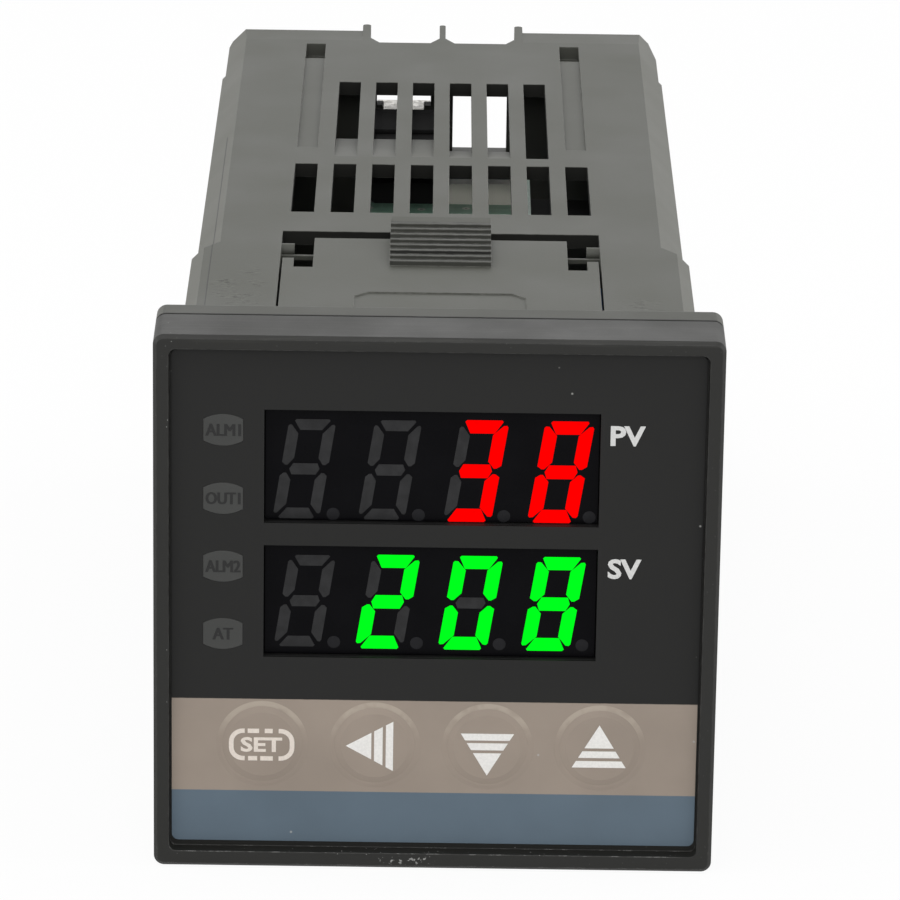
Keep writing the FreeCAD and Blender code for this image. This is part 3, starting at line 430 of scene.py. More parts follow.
# the printed face: charcoal, with a taupe and a blue field below
filmPrint = {
    "charcoal": (0.0100, 0.0100, 0.0095), "taupe": (0.286, 0.238, 0.198), "blue": (0.100, 0.137, 0.173),
    "taupeTop": (-8.89, -8.83, 1.0, 0.0), "blueTop": (-17.31, -17.25, 1.0, 0.0), "rough": 0.55,
    "specular": 0.22, "grain": 11.0, "ripple": (1.5, 2.0), "rippleHeight": 0.03,
    "shadeFade": (0.25, 0.75, 0.93, 1.07), "roughFade": (0.2, 0.8, -0.05, 0.07), "relief": (0.2, 0.012),
}
# painted shade on the film's thickness where the windows are cut
filmCutShade = {"y": (-7.33, -7.30), "z": (-6.0, 18.0, 0.1), "x": (-16.0, 15.0, 0.1),
            "colour": (0.004, 0.004, 0.004)}
filmDust = {"spacing": 0.9, "amount": 0.05, "share": 0.6, "colour": (0.42, 0.42, 0.40)}
# painted highlight, pale along the top of each key's embossed edge and broken up by noise
creaseHighlight = {"z": (-12.6, -10.2, 0.0, 0.34), "noise": (0.8, 2.0), "fade": (0.3, 0.55, 0.35, 1.0),
           "colour": (0.52, 0.46, 0.38)}


def makeFilmPrint(name, s, windows=False, highlightArc=False):
    mat, tree, shader = newMaterial(name, s["charcoal"], s["rough"], specular=s["specular"])
    spot = objectSpot(tree)
    x, y, z = axes(tree, spot)
    grain = placeGroup(tree, mouldGrain, vector=spot, size=s["grain"])
    ripple = maths(tree, "SUBTRACT", noise(tree, spot, *s["ripple"]), noiseMiddle)
    level = maths(tree, "ADD", z, times(tree, ripple, s["rippleHeight"]))
    colour = blendColour(tree, ramp(tree, level, *s["taupeTop"]), s["charcoal"], s["taupe"])
    colour = blendColour(tree, ramp(tree, level, *s["blueTop"]), colour, s["blue"])
    colour = scaleVector(tree, colour, ramp(tree, grain.outputs["Shade"], *s["shadeFade"]))
    if highlightArc:
        # painted highlight on the upper part of the crease
        highlightMask = ramp(tree, noise(tree, spot, *creaseHighlight["noise"]), *creaseHighlight["fade"])
        highlightMask = times(tree, ramp(tree, z, *creaseHighlight["z"]), highlightMask)
        colour = blendColour(tree, highlightMask, colour, creaseHighlight["colour"])
    if windows:
        # painted shade on the cut edges of the windows
        cutShade = times(tree, ramp(tree, y, *filmCutShade["y"]), between(tree, z, *filmCutShade["z"]),
                    between(tree, x, *filmCutShade["x"]))
        colour = blendColour(tree, cutShade, colour, filmCutShade["colour"])
        dust = placeGroup(tree, dustSpecks, vector=spot, spacing=filmDust["spacing"],
                          amount=filmDust["amount"])
        specks = times(tree, dust.outputs["Mask"], filmDust["share"])
        colour = blendColour(tree, specks, colour, filmDust["colour"])
    feed(tree, shader.inputs["Base Color"], colour)
    roughen(tree, shader, grain.outputs["Shade"], s["rough"], s["roughFade"])
    emboss(tree, shader, grain.outputs["Height"], s["relief"])
    return mat


finish(makeFilmPrint("filmPrint", filmPrint, windows=True), "face_film")
finish(makeFilmPrint("keyPrint", filmPrint), "key_set", "key_shift", "key_down", "key_up")
creasePrintAndHighlight = makeFilmPrint("creasePrintAndHighlight", filmPrint, highlightArc=True)

inkLook = {"rough": 0.5, "specular": 0.3, "cover": (5.0, 3.0), "coverFade": (0.3, 0.7, 0.94, 1.03),
           "grain": (12.0, 2.0), "relief": (0.2, 0.006)}
inkColours = {"legendWhite": (0.76, 0.745, 0.72), "legendCream": (0.70, 0.63, 0.565),
              "legendGrey": (0.60, 0.60, 0.59), "legendDark": (0.012, 0.012, 0.012)}


def makeInk(name, colour, s):
    # Screen-printed ink: slightly uneven cover and a fine bump.
    mat, tree, shader = newMaterial(name, colour, s["rough"], specular=s["specular"])
    spot = objectSpot(tree)
    cover = ramp(tree, noise(tree, spot, *s["cover"]), *s["coverFade"])
    feed(tree, shader.inputs["Base Color"], scaleVector(tree, colour, cover))
    emboss(tree, shader, noise(tree, spot, *s["grain"]), s["relief"])
    return mat


inks = {name: makeInk(name, colour, inkLook) for name, colour in inkColours.items()}
inkDepth = 0.02
# distances at which points are merged, and the angle from which an edge is sharp
weld = {"fine": 0.0005, "coarse": 0.001, "sharpAngle": 0.7}


def vertsOf(items):
    return [item for item in items if isinstance(item, bmesh.types.BMVert)]


def edgeOf(items):
    return [item for item in items if isinstance(item, bmesh.types.BMEdge)][0]


def addPiece(name, build, materials, body, smooth=False):
    # A new piece from a bmesh, riding on its body.
    mesh = bpy.data.meshes.new(name)
    bm = bmesh.new()
    build(bm)
    bmesh.ops.remove_doubles(bm, verts=bm.verts, dist=weld["fine"] * mm)
    bmesh.ops.recalc_face_normals(bm, faces=bm.faces)
    for face in bm.faces:
        face.smooth = smooth
    for edge in bm.edges:
        edge.smooth = edge.calc_face_angle(0.0) < weld["sharpAngle"]
    bm.to_mesh(mesh)
    bm.free()
    piece = bpy.data.objects.new(name, mesh)
    scene.collection.objects.link(piece)
    for mat in materials:
        mesh.materials.append(mat)
    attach(piece, body)


def liftFaces(bm, faces, depth):
    # Draws faces out towards the front, and returns the moved points.
    moved = vertsOf(bmesh.ops.extrude_face_region(bm, geom=faces)["geom"])
    bmesh.ops.translate(bm, verts=moved, vec=(0, -depth * mm, 0))
    return moved


def raisePlate(bm, face, depth, material=0):
    for vert in liftFaces(bm, [face], depth):
        for link in vert.link_faces:
            link.material_index = material
    face.material_index = material


def flatFace(bm, corners, y):
    return bm.faces.new([bm.verts.new((x * mm, y * mm, z * mm)) for x, z in corners])


textMesh = {"depth": 0.2, "resolution": 3}


def addWords(name, words, s, y, mat, body):
    # Printed words, fitted to a width and a height.
    curve = bpy.data.curves.new(name + "Curve", "FONT")
    curve.body = words
    curve.extrude = textMesh["depth"] / 2.0
    curve.offset = s["bold"]
    curve.resolution_u = textMesh["resolution"]
    holder = bpy.data.objects.new(name + "Holder", curve)
    scene.collection.objects.link(holder)
    bpy.context.view_layer.update()
    mesh = bpy.data.meshes.new_from_object(holder.evaluated_get(bpy.context.evaluated_depsgraph_get()))
    bpy.data.objects.remove(holder)
    spots = [vert.co for vert in mesh.vertices]
    lowX, highX = min(p.x for p in spots), max(p.x for p in spots)
    lowY, highY = min(p.y for p in spots), max(p.y for p in spots)
    middle = Matrix.Translation((-(lowX + highX) / 2.0, -(lowY + highY) / 2.0, 0))
    size = Matrix.Diagonal((s["width"] * mm / (highX - lowX), s["height"] * mm / (highY - lowY),
                            inkDepth * mm / textMesh["depth"], 1))
    place = Matrix.Translation((s["x"] * mm, (y - inkDepth / 2.0) * mm, s["z"] * mm))
    mesh.transform(place @ Matrix.Rotation(math.pi / 2.0, 4, "X") @ size @ middle)
    mesh.name = name
    mesh.materials.clear()
    mesh.materials.append(mat)
    piece = bpy.data.objects.new(name, mesh)
    scene.collection.objects.link(piece)
    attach(piece, body)


def frontOf(node):
    return edges(node)[0].y / mm


filmFront = frontOf("face_film")

# SET key: the word in a dashed pill, with the dashes' starts and ends along x
setPill = {"x": -14.75, "z": -12.98, "width": 5.6, "height": 2.92, "radius": 1.2, "line": 0.40, "past": 0.15,
           "steps": 8, "topDashes": ((-1.20, -0.22), (0.26, 0.94)),
           "lowDashes": ((-1.16, -0.38), (-0.12, 0.96))}
setWord = {"x": -14.77, "z": -12.98, "width": 3.55, "height": 1.36, "bold": 0.03}


def pullEdge(bm, edge, shift):
    # Draws an edge out into a strip, and returns its far edge.
    strip = bmesh.ops.extrude_edge_only(bm, edges=[edge])["geom"]
    bmesh.ops.translate(bm, verts=vertsOf(strip), vec=shift)
    return edgeOf(strip)


def buildPill(bm):
    s = setPill
    y = frontOf("key_set")
    halfX, halfZ, r, w = s["width"] / 2, s["height"] / 2, s["radius"], s["line"]
    for side in (-1, 1):
        for up in (-1, 1):
            # from the side's middle, up the side, round the corner and along to the dash's end
            ends = [bm.verts.new(((s["x"] + side * reach) * mm, y * mm, s["z"] * mm))
                    for reach in (halfX, halfX - w)]
            edge = pullEdge(bm, bm.edges.new(ends), (0, 0, up * (halfZ - r) * mm))
            centre = ((s["x"] + side * (halfX - r)) * mm, y * mm, (s["z"] + up * (halfZ - r)) * mm)
            turn = bmesh.ops.spin(bm, geom=[edge, *edge.verts], cent=centre, axis=(0, 1, 0),
                                  angle=-side * up * math.pi / 2, steps=s["steps"])
            pullEdge(bm, edgeOf(turn["geom_last"]), (-side * s["past"] * mm, 0, 0))
    for dashes, low in ((s["topDashes"], s["z"] + halfZ - w), (s["lowDashes"], s["z"] - halfZ)):
        for start, end in dashes:
            left, right = s["x"] + start, s["x"] + end
            flatFace(bm, [(left, low), (right, low), (right, low + w), (left, low + w)], y)
    bmesh.ops.remove_doubles(bm, verts=bm.verts, dist=weld["coarse"] * mm)
    liftFaces(bm, list(bm.faces), inkDepth)


addPiece("setPill", buildPill, [inks["legendCream"]], "set_key")
addWords("setWord", "SET", setWord, frontOf("key_set"), inks["legendCream"], "set_key")

# arrow keys: a solid tip and two bars on one taper, cut across at distances from the tip
arrowKeys = {
    "shift": {"tip": (-7.55, -12.98), "turn": 90, "slope": 0.56, "cuts": (0, 2.18, 2.42, 3.15, 3.42, 4.05)},
    "down": {"tip": (4.55, -15.55), "turn": 180, "slope": 0.592, "cuts": (0, 2.05, 2.33, 2.97, 3.22, 3.84)},
    "up": {"tip": (14.12, -10.80), "turn": 0, "slope": 0.594, "cuts": (0, 2.11, 2.39, 3.00, 3.29, 3.89)},
}


def buildArrow(key):
    s = arrowKeys[key]
    sine, cosine = math.sin(math.radians(s["turn"])), math.cos(math.radians(s["turn"]))

    def place(along, across):
        # along runs from the tip to the base
        return s["tip"][0] + across * cosine + along * sine, s["tip"][1] + across * sine - along * cosine

    def build(bm):
        y = frontOf("key_" + key)
        for start, end in zip(s["cuts"][0::2], s["cuts"][1::2]):
            near, far = start * s["slope"], end * s["slope"]
            corners = [place(start, -near), place(end, -far), place(end, far), place(start, near)]
            raisePlate(bm, flatFace(bm, corners if start else corners[:3], y), inkDepth)
    return build


for key in arrowKeys:
    addPiece(key + "Arrow", buildArrow(key), [inks["legendWhite"]], key + "_key")

# the film's embossed edge round each key, as (radius, rise) across it, just clear of the film
creases = {"profile": ((3.44, 0.044), (3.52, 0.055), (3.64, 0.04675), (3.78, 0.01925), (3.92, 0.004)),
           "clear": 0.003, "steps": 72}


def buildCrease(key):
    low, high = edges("key_" + key)
    centre = Vector(((low.x + high.x) / 2.0, 0, (low.z + high.z) / 2.0))

    def build(bm):
        s = creases
        verts = [bm.verts.new(centre + Vector((radius * mm, (filmFront - s["clear"] - rise) * mm, 0)))
                 for radius, rise in s["profile"]]
        lines = [bm.edges.new(pair) for pair in zip(verts, verts[1:])]
        bmesh.ops.spin(bm, geom=verts + lines, cent=centre, axis=(0, 1, 0), angle=2 * math.pi,
                       steps=s["steps"], use_merge=True)
        bmesh.ops.remove_doubles(bm, verts=bm.verts, dist=weld["fine"] * mm)
        liftFaces(bm, list(bm.faces), -s["clear"])
    return build


for key in ("set", "shift", "down", "up"):
    addPiece(key + "Crease", buildCrease(key), [creasePrintAndHighlight], "chassis", smooth=True)

displayLabels = {
    "upperLabel": ("PV", {"x": 15.95, "z": 15.28, "width": 2.95, "height": 1.78, "bold": 0.032}),
    "lowerLabel": ("SV", {"x": 15.92, "z": 3.38, "width": 2.85, "height": 1.80, "bold": 0.032}),
}
for name, (words, s) in displayLabels.items():
    addWords(name, words, s, filmFront, inks["legendGrey"], "chassis")

# lamp windows, with dark words struck three times, each strike as (shift, lift)
lampSmoke = {"colour": (0.044, 0.045, 0.043), "specular": 0.25, "edge": 1.2}
lampPrint = {"x": -18.1, "height": 1.05, "bold": 0.0, "strikes": ((-0.06, 0.0), (0.06, 0.003), (0.0, 0.006))}
lampWords = {"ALM1": (15.35, 2.8975), "OUT1": (9.25, 2.85), "ALM2": (3.15, 2.8975), "AT": (-2.95, 1.6625)}

finish(makePlainPlastic("lampSmoke", lampSmoke), "lamp_windows")
for words, (z, width) in lampWords.items():
    for strike, (shift, lift) in enumerate(lampPrint["strikes"]):
        s = {**lampPrint, "x": lampPrint["x"] + shift, "z": z, "width": width}
        addWords("lamp%s%d" % (words.capitalize(), strike), words, s, filmFront - lift, inks["legendDark"],
                 "chassis")
print("film, keys and legends done")

displayFace = {"dark": (0.0022, 0.0021, 0.0027), "light": (0.0040, 0.0039, 0.0048), "rough": 0.35,
               "specular": 0.04, "haze": (0.35, 4.0), "roughFade": (0.3, 0.7, 0.22, 0.36),
               "ripple": (3.0, 3.0), "relief": (0.1, 0.01)}
barLook = {"rough": 0.5, "specular": 0.15, "cloud": (1.1, 3.0), "cloudFade": (0.3, 0.7),
           "mottle": (0.82, 1.15), "litMottle": (0.93, 1.0), "litBase": 0.1, "ripple": (8.0, 2.0),
           "relief": (0.15, 0.01)}
# bar colours, and whether they are lit
barColours = {"segmentOff": ((0.0215, 0.0215, 0.0225), False), "segmentRed": ((1.0, 0.0, 0.0), True),
              "segmentGreen": ((0.0, 1.0, 0.012), True), "dotOff": ((0.0085, 0.0085, 0.0100), False)}


def makeDisplayFace(s):
    mat, tree, shader = newMaterial("displayFace", s["dark"], s["rough"], specular=s["specular"])
    spot = objectSpot(tree)
    haze = noise(tree, spot, *s["haze"])
    feed(tree, shader.inputs["Base Color"], blendColour(tree, haze, s["dark"], s["light"]))
    feed(tree, shader.inputs["Roughness"], ramp(tree, haze, *s["roughFade"]))
    emboss(tree, shader, noise(tree, spot, *s["ripple"]), s["relief"])
    return mat


def makeSegment(name, colour, lit, s):
    base = shaded(colour, s["litBase"]) if lit else colour
    mat, tree, shader = newMaterial(name, base, s["rough"], specular=0.0 if lit else s["specular"])
    spot = objectSpot(tree)
    cloud = ramp(tree, noise(tree, spot, *s["cloud"]), *s["cloudFade"])
    feed(tree, shader.inputs["Base Color"], mottle(tree, cloud, base, *s["mottle"]))
    emboss(tree, shader, noise(tree, spot, *s["ripple"]), s["relief"])
    if lit:
        feed(tree, shader.inputs["Emission Color"], mottle(tree, cloud, colour, *s["litMottle"]))
        shader.inputs["Emission Strength"].default_value = 1.0
    return mat


finish(makeDisplayFace(displayFace), "display_upper", "display_lower")
segmentFinishes = [makeSegment(name, colour, lit, barLook) for name, (colour, lit) in barColours.items()]

# which of the seven bars are lit: top, upper right, lower right, bottom, lower left, upper left, middle
figures = {"0": "1111110", "2": "1101101", "3": "1111001", "8": "1111111", " ": "0000000"}
displays = {
    "upper": {"node": "display_upper", "text": "  38", "lit": 1, "first": -11.27, "pitch": 7.22,
              "middle": 11.71, "height": 8.87},
    "lower": {"node": "display_lower", "text": " 208", "lit": 2, "first": -11.17, "pitch": 7.05,
              "middle": -0.16, "height": 8.3},
}
# half width to the outside, lean to the right, and how far a lit bar spreads past its outline
digit = {"half": 1.985, "lean": math.tan(math.radians(9.0)), "spread": 0.105, "spreadFrom": 0.2,
         "dotMaterial": 3, "dot": 0.55, "dotGap": 1.17, "dotUp": 0.44, "dotSteps": 20}
# outlines of the bars: the middle one about its centre, a lying one as x and the distance in from the end,
# a standing one as the distance in from the side and, from the middle (0) or the end (1), the distance
bars = {
    "middle": ((-1.28, 0), (-1.02, 0.5), (1.02, 0.5), (1.28, 0), (1.02, -0.5), (-1.02, -0.5)),
    "lying": ((-1.38, 0), (1.38, 0), (1.50, 0.14), (0.92, 0.96), (-0.92, 0.96), (-1.50, 0.14)),
    "standing": ((0, 0.62, 0), (0, 0.62, 1), (0.12, 0.47, 1), (0.30, 0.50, 1), (0.96, 1.30, 1),
                 (0.96, 0.98, 0), (0.50, 0.36, 0), (0.28, 0.36, 0)),
}


def spreadOut(points):
    # Moves each point outwards, but for the tips near the middle lines.
    def push(value, middle):
        near = abs(value - middle) <= digit["spreadFrom"]
        return value if near else value + math.copysign(digit["spread"], value - middle)

    middleX, middleZ = (sum(values) / len(points) for values in zip(*points))
    return [(push(x, middleX), push(z, middleZ)) for x, z in points]


def buildDigits(s):
    tall, wide = s["height"] / 2.0, digit["half"]

    def lying(up):
        return [(x, up * (tall - inset)) for x, inset in bars["lying"]]

    def standing(side, up):
        return [(side * (wide - inset), up * (tall - distance if fromEnd else distance))
                for inset, distance, fromEnd in bars["standing"]]

    def build(bm):
        y = frontOf(s["node"])
        shapes = (lying(1), standing(1, 1), standing(1, -1), lying(-1), standing(-1, -1), standing(-1, 1),
                  bars["middle"])
        for index, figure in enumerate(s["text"]):
            x = s["first"] + index * s["pitch"]
            for points, flag in zip(shapes, figures[figure]):
                lit = flag == "1"
                corners = [(x + px + pz * digit["lean"], s["middle"] + pz)
                           for px, pz in (spreadOut(points) if lit else points)]
                raisePlate(bm, flatFace(bm, corners, y), inkDepth, s["lit"] if lit else 0)
            dot = Vector((x + wide + digit["dotGap"] - tall * digit["lean"], y,
                          s["middle"] - tall + digit["dotUp"]))
            place = Matrix.Translation(dot * mm) @ Matrix.Rotation(math.pi / 2, 4, "X")
            disc = bmesh.ops.create_circle(bm, cap_ends=True, segments=digit["dotSteps"],
                                           radius=digit["dot"] * mm, matrix=place)
            raisePlate(bm, disc["verts"][0].link_faces[0], inkDepth, digit["dotMaterial"])
    return build


for name, s in displays.items():
    addPiece(name + "Digits", buildDigits(s), segmentFinishes, "chassis")
print("displays done")

metalLook = {"edgeRadius": 0.1, "detail": 5.0, "streakRough": 0.6, "dull": (0.5, 4.0),
             "dullFade": (0.5, 0.7, 0.0, 0.4), "dullTint": (0.72, 0.68, 0.6),
             "roughFade": (0.3, 0.7, -0.08, 0.12), "relief": (0.25, 0.012)}
evenStretch = (1.0, 1.0, 1.0)
metals = {
    "zincPlate": {"colour": (0.66, 0.66, 0.65), "rough": 0.32, "grain": 3.0, "stretch": evenStretch,
                  "nodes": ("terminal_screws",)},
    "tinPlate": {"colour": (0.60, 0.585, 0.55), "rough": 0.34, "grain": 2.0, "stretch": (1.0, 1.0, 6.0),
                 "nodes": ("terminal_contacts_left", "terminal_contacts_right", "terminal_contact_top",
                           "terminal_clamps")},
    "coreSteel": {"colour": (0.20, 0.20, 0.21), "rough": 0.45, "grain": 1.6, "stretch": (0.3, 0.3, 12.0),
                  "nodes": ("transformer_core",)},
    "canMetal": {"colour": (0.70, 0.70, 0.69), "rough": 0.25, "grain": 3.0, "stretch": evenStretch,
                 "nodes": ("crystal",)},
}


def makeMetal(name, s, look):
    mat, tree, shader = newMaterial(name, s["colour"], s["rough"], metal=1.0)
    spot = objectSpot(tree)
    wear = placeGroup(tree, edgeWear, radius=look["edgeRadius"] * mm)
    streak = noise(tree, spot, s["grain"], look["detail"], look["streakRough"], s["stretch"])
    dull = ramp(tree, noise(tree, spot, *look["dull"]), *look["dullFade"])
    dullColour = [c * tint for c, tint in zip(s["colour"], look["dullTint"])]
    feed(tree, shader.inputs["Base Color"], blendColour(tree, dull, s["colour"], dullColour))
    roughen(tree, shader, streak, s["rough"], look["roughFade"])
    emboss(tree, shader, streak, look["relief"], wear.outputs["Normal"])
    return mat


for name, s in metals.items():
    finish(makeMetal(name, s, metalLook), *s["nodes"])

# boards: copper runs and tinned pads under a solder mask, laid out on two of the axes
boardLook = {
    "rough": 0.35, "specular": 0.5, "relief": (0.5, 0.03), "trackHeight": 0.6,
    "runs": {"Scale": 0.42, "Mortar Size": 0.07, "Mortar Smooth": 0.0, "Brick Width": 1.7, "Row Height": 0.6},
    "runsOffset": 0.37, "pads": {"Scale": 0.45, "Randomness": 0.25}, "pad": (0.16, 0.19, 1.0, 0.0),
    "hole": (0.06, 0.075, 1.0, 0.0), "holeColour": (0.01, 0.01, 0.01), "cloud": (0.8, 3.0),
    "cloudFade": (0.3, 0.7, 0.0, 0.25), "cloudShade": 0.5, "roughFade": (0.0, 1.0, 0.38, 0.28),
}
greenMask = {"mask": (0.018, 0.115, 0.050), "trace": (0.035, 0.175, 0.080), "tin": (0.55, 0.54, 0.50)}
# the flat board's colours are the green mask painted lighter, standing in for light that falls on it inside
# the case
litCopyMask = {"mask": (0.17, 0.30, 0.225), "trace": (0.22, 0.36, 0.28), "tin": (0.50, 0.50, 0.46)}
boards = {
    "boardUpright": {"axes": (1, 2), "colours": greenMask, "nodes": ("power_board", "main_board")},
    "boardFront": {"axes": (0, 2), "colours": greenMask, "nodes": ("display_board",)},
    "boardFlat": {"axes": (0, 1), "colours": litCopyMask, "nodes": ("option_board",)},
}


def makeBoard(name, flatAxes, colours, s):
    mat, tree, shader = newMaterial(name, colours["mask"], s["rough"], specular=s["specular"])
    spot = objectSpot(tree)
    places = axes(tree, spot)
    flat = addNode(tree, "CombineXYZ")
    for socket, axis in zip(flat.inputs, flatAxes):
        tree.links.new(places[axis], socket)
    runs = setInputs(addNode(tree, "TexBrick", offset=s["runsOffset"]), s["runs"])
    tree.links.new(flat.outputs[0], runs.inputs["Vector"])
    track = runs.outputs["Fac"]
    pads = setInputs(addNode(tree, "TexVoronoi", feature="F1"), s["pads"])
    tree.links.new(flat.outputs[0], pads.inputs["Vector"])
    pad = ramp(tree, pads.outputs["Distance"], *s["pad"])
    hole = ramp(tree, pads.outputs["Distance"], *s["hole"])
    cloud = ramp(tree, noise(tree, spot, *s["cloud"]), *s["cloudFade"])
    colour = blendColour(tree, track, colours["mask"], colours["trace"])
    colour = blendColour(tree, pad, colour, colours["tin"])
    colour = blendColour(tree, hole, colour, s["holeColour"])
    colour = blendColour(tree, cloud, colour, shaded(colours["mask"], s["cloudShade"]))
    feed(tree, shader.inputs["Base Color"], colour)
    feed(tree, shader.inputs["Roughness"], ramp(tree, pad, *s["roughFade"]))
    height = maths(tree, "ADD", times(tree, track, s["trackHeight"]), pad)
    emboss(tree, shader, height, s["relief"])
    return mat


for name, s in boards.items():
    finish(makeBoard(name, s["axes"], s["colours"], boardLook), *s["nodes"])

plainParts = {
    "ivoryPlastic": {"colour": (0.56, 0.53, 0.44), "rough": 0.45,
                     "nodes": ("board_sockets", "indicator_leds")},
    "blackPlastic": {"colour": (0.018, 0.018, 0.019), "rough": 0.42, "nodes": ("switch_bodies",)},
    "relayBlue": {"colour": (0.028, 0.10, 0.26), "rough": 0.4, "nodes": ("output_relay", "alarm_relay")},
    "relayPale": {"colour": (0.80, 0.76, 0.68), "nodes": ("option_relay",)},
    "mattBlack": {"colour": (0.012, 0.012, 0.012), "rough": 0.8, "specular": 0.08,
                  "nodes": ("option_connector", "option_header")},
    "chipEpoxy": {"colour": (0.016, 0.016, 0.018), "rough": 0.6, "grain": 9.0,
                  "nodes": ("microcontroller", "memory_chip", "rectifier")},
    "bobbinPlastic": {"colour": (0.62, 0.55, 0.38), "rough": 0.45, "nodes": ("transformer_bobbin",)},
    "plungerPlastic": {"colour": (0.60, 0.59, 0.55), "rough": 0.4,
                       "nodes": ("plunger_set", "plunger_shift", "plunger_down", "plunger_up")},
}
plainFinishes = {name: makePlainPlastic(name, s) for name, s in plainParts.items()}
for name, s in plainParts.items():
    finish(plainFinishes[name], *s["nodes"])

tapeLook = {"colour": (0.62, 0.38, 0.06), "dark": (0.52, 0.30, 0.045), "light": (0.66, 0.42, 0.08),
            "rough": 0.4, "specular": 0.45, "turns": {"Scale": 0.35, "Distortion": 0.6}, "relief": (0.4, 0.05)}
sleeveLook = {
    "rough": 0.3, "specular": 0.5, "stripeFacing": (0.90, 0.92), "topFacing": (0.85, 0.9), "dashPitch": 1.6,
    "dashFade": (0.55, 0.65, 0.0, 0.8), "cloud": (0.5, 3.0), "mottle": (0.8, 1.2), "can": (0.62, 0.62, 0.61),
    "canMetal": 0.9, "ripple": (2.5, 3.0), "relief": (0.2, 0.02),
}
sleeves = {
    "sleeveBlack": {"colour": (0.016, 0.016, 0.022), "stripe": (0.45, 0.45, 0.44),
                    "nodes": ("mains_capacitor",)},
    "sleeveBlue": {"colour": (0.015, 0.028, 0.10), "stripe": (0.42, 0.45, 0.52),
                   "nodes": ("small_capacitors",)},
}


def makeTape(s):
    # Yellow tape wound over the coil, its turns showing as low steps.
    mat, tree, shader = newMaterial("windingTape", s["colour"], s["rough"], specular=s["specular"])
    turns = setInputs(addNode(tree, "TexWave", wave_type="BANDS", bands_direction="X"), s["turns"])
    tree.links.new(objectSpot(tree), turns.inputs["Vector"])
    feed(tree, shader.inputs["Base Color"], blendColour(tree, turns.outputs["Fac"], s["dark"], s["light"]))
    emboss(tree, shader, turns.outputs["Fac"], s["relief"])
    return mat


def makeSleeve(name, colour, stripe, s):
    # Shrunk sleeve with a dashed pale stripe up one side, and a bare can top.
    mat, tree, shader = newMaterial(name, colour, s["rough"], specular=s["specular"])
    spot = objectSpot(tree)
    outward, _, up = facing(tree)
    top = ramp(tree, outward, *s["topFacing"])
    wave = maths(tree, "SINE", times(tree, axes(tree, spot)[0], s["dashPitch"]))
    tone = blendColour(tree, ramp(tree, wave, *s["dashFade"]), stripe, colour)
    shade = mottle(tree, noise(tree, spot, *s["cloud"]), colour, *s["mottle"])
    shade = blendColour(tree, ramp(tree, up, *s["stripeFacing"]), shade, tone)
    feed(tree, shader.inputs["Base Color"], blendColour(tree, top, shade, s["can"]))
    feed(tree, shader.inputs["Metallic"], times(tree, top, s["canMetal"]))
    emboss(tree, shader, noise(tree, spot, *s["ripple"]), s["relief"])
    return mat


# the black hood over the plug at the end of the option board
plugHood = {"length": 7.2, "past": 1.0, "rise": 0.5, "clear": 0.01, "rim": 0.7, "sink": 0.28, "bevel": 0.12,
            "segments": 2, "sharpAngle": 1.0, "upwards": 0.9}


def buildPlugHood(bm):
    s = plugHood
    low, high = edges("option_connector")
    start, end = high.y - (s["length"] - s["past"]) * mm, high.y + s["past"] * mm
    size = Vector((high.x - low.x, end - start, s["rise"] * mm))
    middle = Vector(((low.x + high.x) / 2.0, (start + end) / 2.0, high.z + size.z / 2.0 + s["clear"] * mm))
    bmesh.ops.create_cube(bm, size=1.0, matrix=Matrix.Translation(middle) @ Matrix.Diagonal((*size, 1)))
    top = [face for face in bm.faces if face.normal.z > s["upwards"]]
    bmesh.ops.inset_region(bm, faces=top, thickness=s["rim"] * mm, use_even_offset=True)
    bmesh.ops.translate(bm, verts=list(top[0].verts), vec=(0, 0, -s["sink"] * mm))
    rims = [edge for edge in bm.edges if edge.calc_face_angle(0.0) > s["sharpAngle"]]
    bmesh.ops.bevel(bm, geom=rims, offset=s["bevel"] * mm, offset_type="OFFSET", affect="EDGES",
                    segments=s["segments"], profile=0.5, material=-1)


addPiece("plugHood", buildPlugHood, [plainFinishes["mattBlack"]], "chassis")
finish(makeTape(tapeLook), "transformer_winding")
for name, s in sleeves.items():
    finish(makeSleeve(name, s["colour"], s["stripe"], sleeveLook), *s["nodes"])
print("inside parts done")

# the camera's place in millimetres and its turns in radians; each lamp's power, size and place in metres
studio = {
    "lens": 238.32, "sensor": 36.0, "clip": (0.01, 20.0), "place": (-0.72, -481.4, 176.8), "pitch": 0.3311,
    "yaw": -0.0036, "roll": 0.015, "worldLevel": 0.42, "aim": (0, 0.04, 0),
}
lamps = {
    "keyLight": (2.5, 0.6, (-0.16, -0.25, 0.78)), "fillLight": (1.9, 0.35, (0.02, -0.70, 0.38)),
    "leftLight": (3.2, 0.6, (-0.75, 0.10, 0.30)), "rightLight": (3.8, 0.6, (0.75, 0.10, 0.30)),
    "rearLight": (1.6, 0.8, (0.1, 0.8, 0.5)),
}
paleFloor = {"z": -24.05, "half": 4.0, "glow": 0.93, "colour": (0.8, 0.8, 0.8), "rough": 0.9, "specular": 0.1}


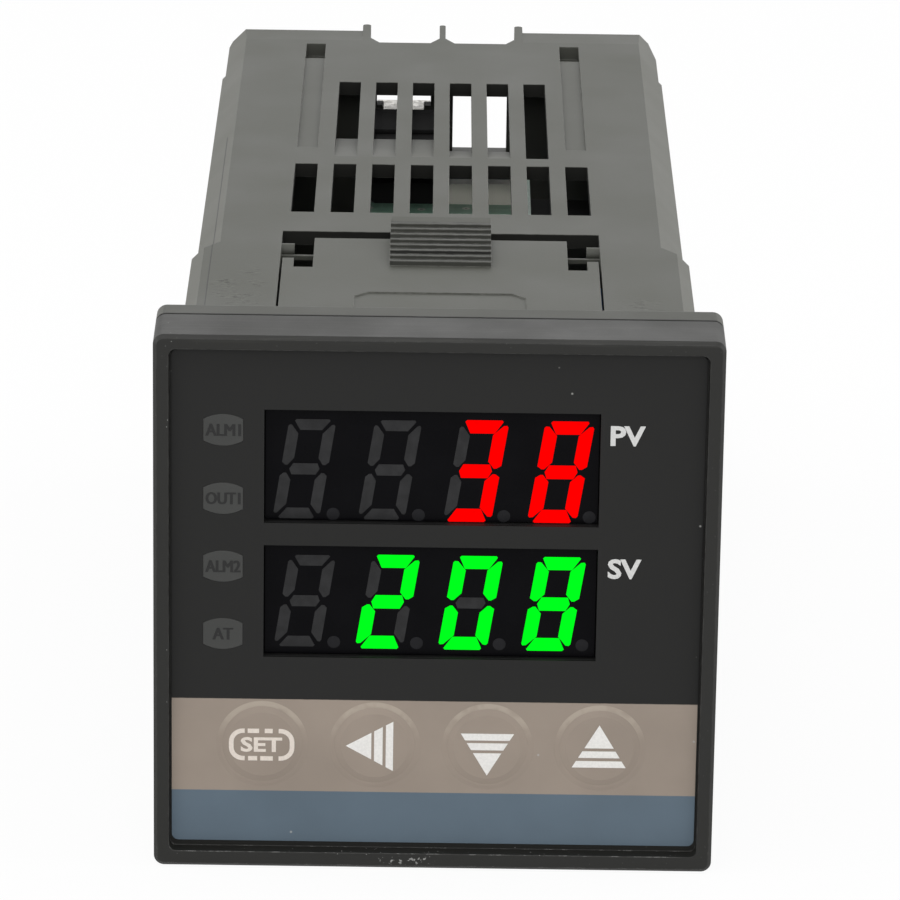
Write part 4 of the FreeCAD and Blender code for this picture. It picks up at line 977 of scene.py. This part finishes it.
def makeCamera(s):
    data = bpy.data.cameras.new("camera")
    data.lens = s["lens"]
    data.sensor_width = s["sensor"]
    data.clip_start, data.clip_end = s["clip"]
    camera = bpy.data.objects.new("camera", data)
    scene.collection.objects.link(camera)
    aim = Matrix.Rotation(s["yaw"], 4, "Z") @ Matrix.Rotation(math.pi / 2 - s["pitch"], 4, "X")
    aim = aim @ Matrix.Rotation(s["roll"], 4, "Z")
    camera.matrix_world = Matrix.Translation(Vector(s["place"]) * mm) @ aim
    scene.camera = camera


def seenDirectly(tree):
    # 1 for what the camera sees, straight or in a reflection, and 0 for what only lights the part.
    path = addNode(tree, "LightPath")
    return most(tree, *[path.outputs["Is %s Ray" % kind] for kind in ("Camera", "Glossy", "Transmission")])


def makeWorld(s):
    world = bpy.data.worlds.new("studioWorld")
    scene.world = world
    world.use_nodes = True
    tree = world.node_tree
    back = setInputs(tree.nodes["Background"], {"Color": (1, 1, 1, 1)})
    level = maths(tree, "ADD", times(tree, seenDirectly(tree), 1.0 - s["worldLevel"]), s["worldLevel"])
    feed(tree, back.inputs["Strength"], level)


def makeLamp(name, power, size, place, aim):
    lamp = bpy.data.lights.new(name, "AREA")
    lamp.energy = power
    lamp.size = size
    holder = bpy.data.objects.new(name, lamp)
    scene.collection.objects.link(holder)
    holder.location = place
    holder.rotation_euler = (Vector(aim) - Vector(place)).to_track_quat("-Z", "Y").to_euler()


def makeFloor(s):
    mat, tree, shader = newMaterial("paleFloor", s["colour"], s["rough"], specular=s["specular"])
    glow = setInputs(addNode(tree, "Emission"), {"Strength": 1.0})
    mix = addNode(tree, "MixShader")
    feed(tree, mix.inputs[0], times(tree, seenDirectly(tree), s["glow"]))
    tree.links.new(shader.outputs[0], mix.inputs[1])
    tree.links.new(glow.outputs[0], mix.inputs[2])
    tree.links.new(mix.outputs[0], tree.nodes["Material Output"].inputs["Surface"])
    mesh = bpy.data.meshes.new("floor")
    bm = bmesh.new()
    bmesh.ops.create_grid(bm, x_segments=1, y_segments=1, size=s["half"])
    bmesh.ops.translate(bm, verts=bm.verts, vec=(0, 0, s["z"] * mm))
    bm.to_mesh(mesh)
    bm.free()
    floor = bpy.data.objects.new("floor", mesh)
    scene.collection.objects.link(floor)
    mesh.materials.append(mat)


makeCamera(studio)
makeWorld(studio)
for name, (power, size, place) in lamps.items():
    makeLamp(name, power, size, place, studio["aim"])
makeFloor(paleFloor)
scene.view_settings.view_transform = "Standard"
print("stage done")
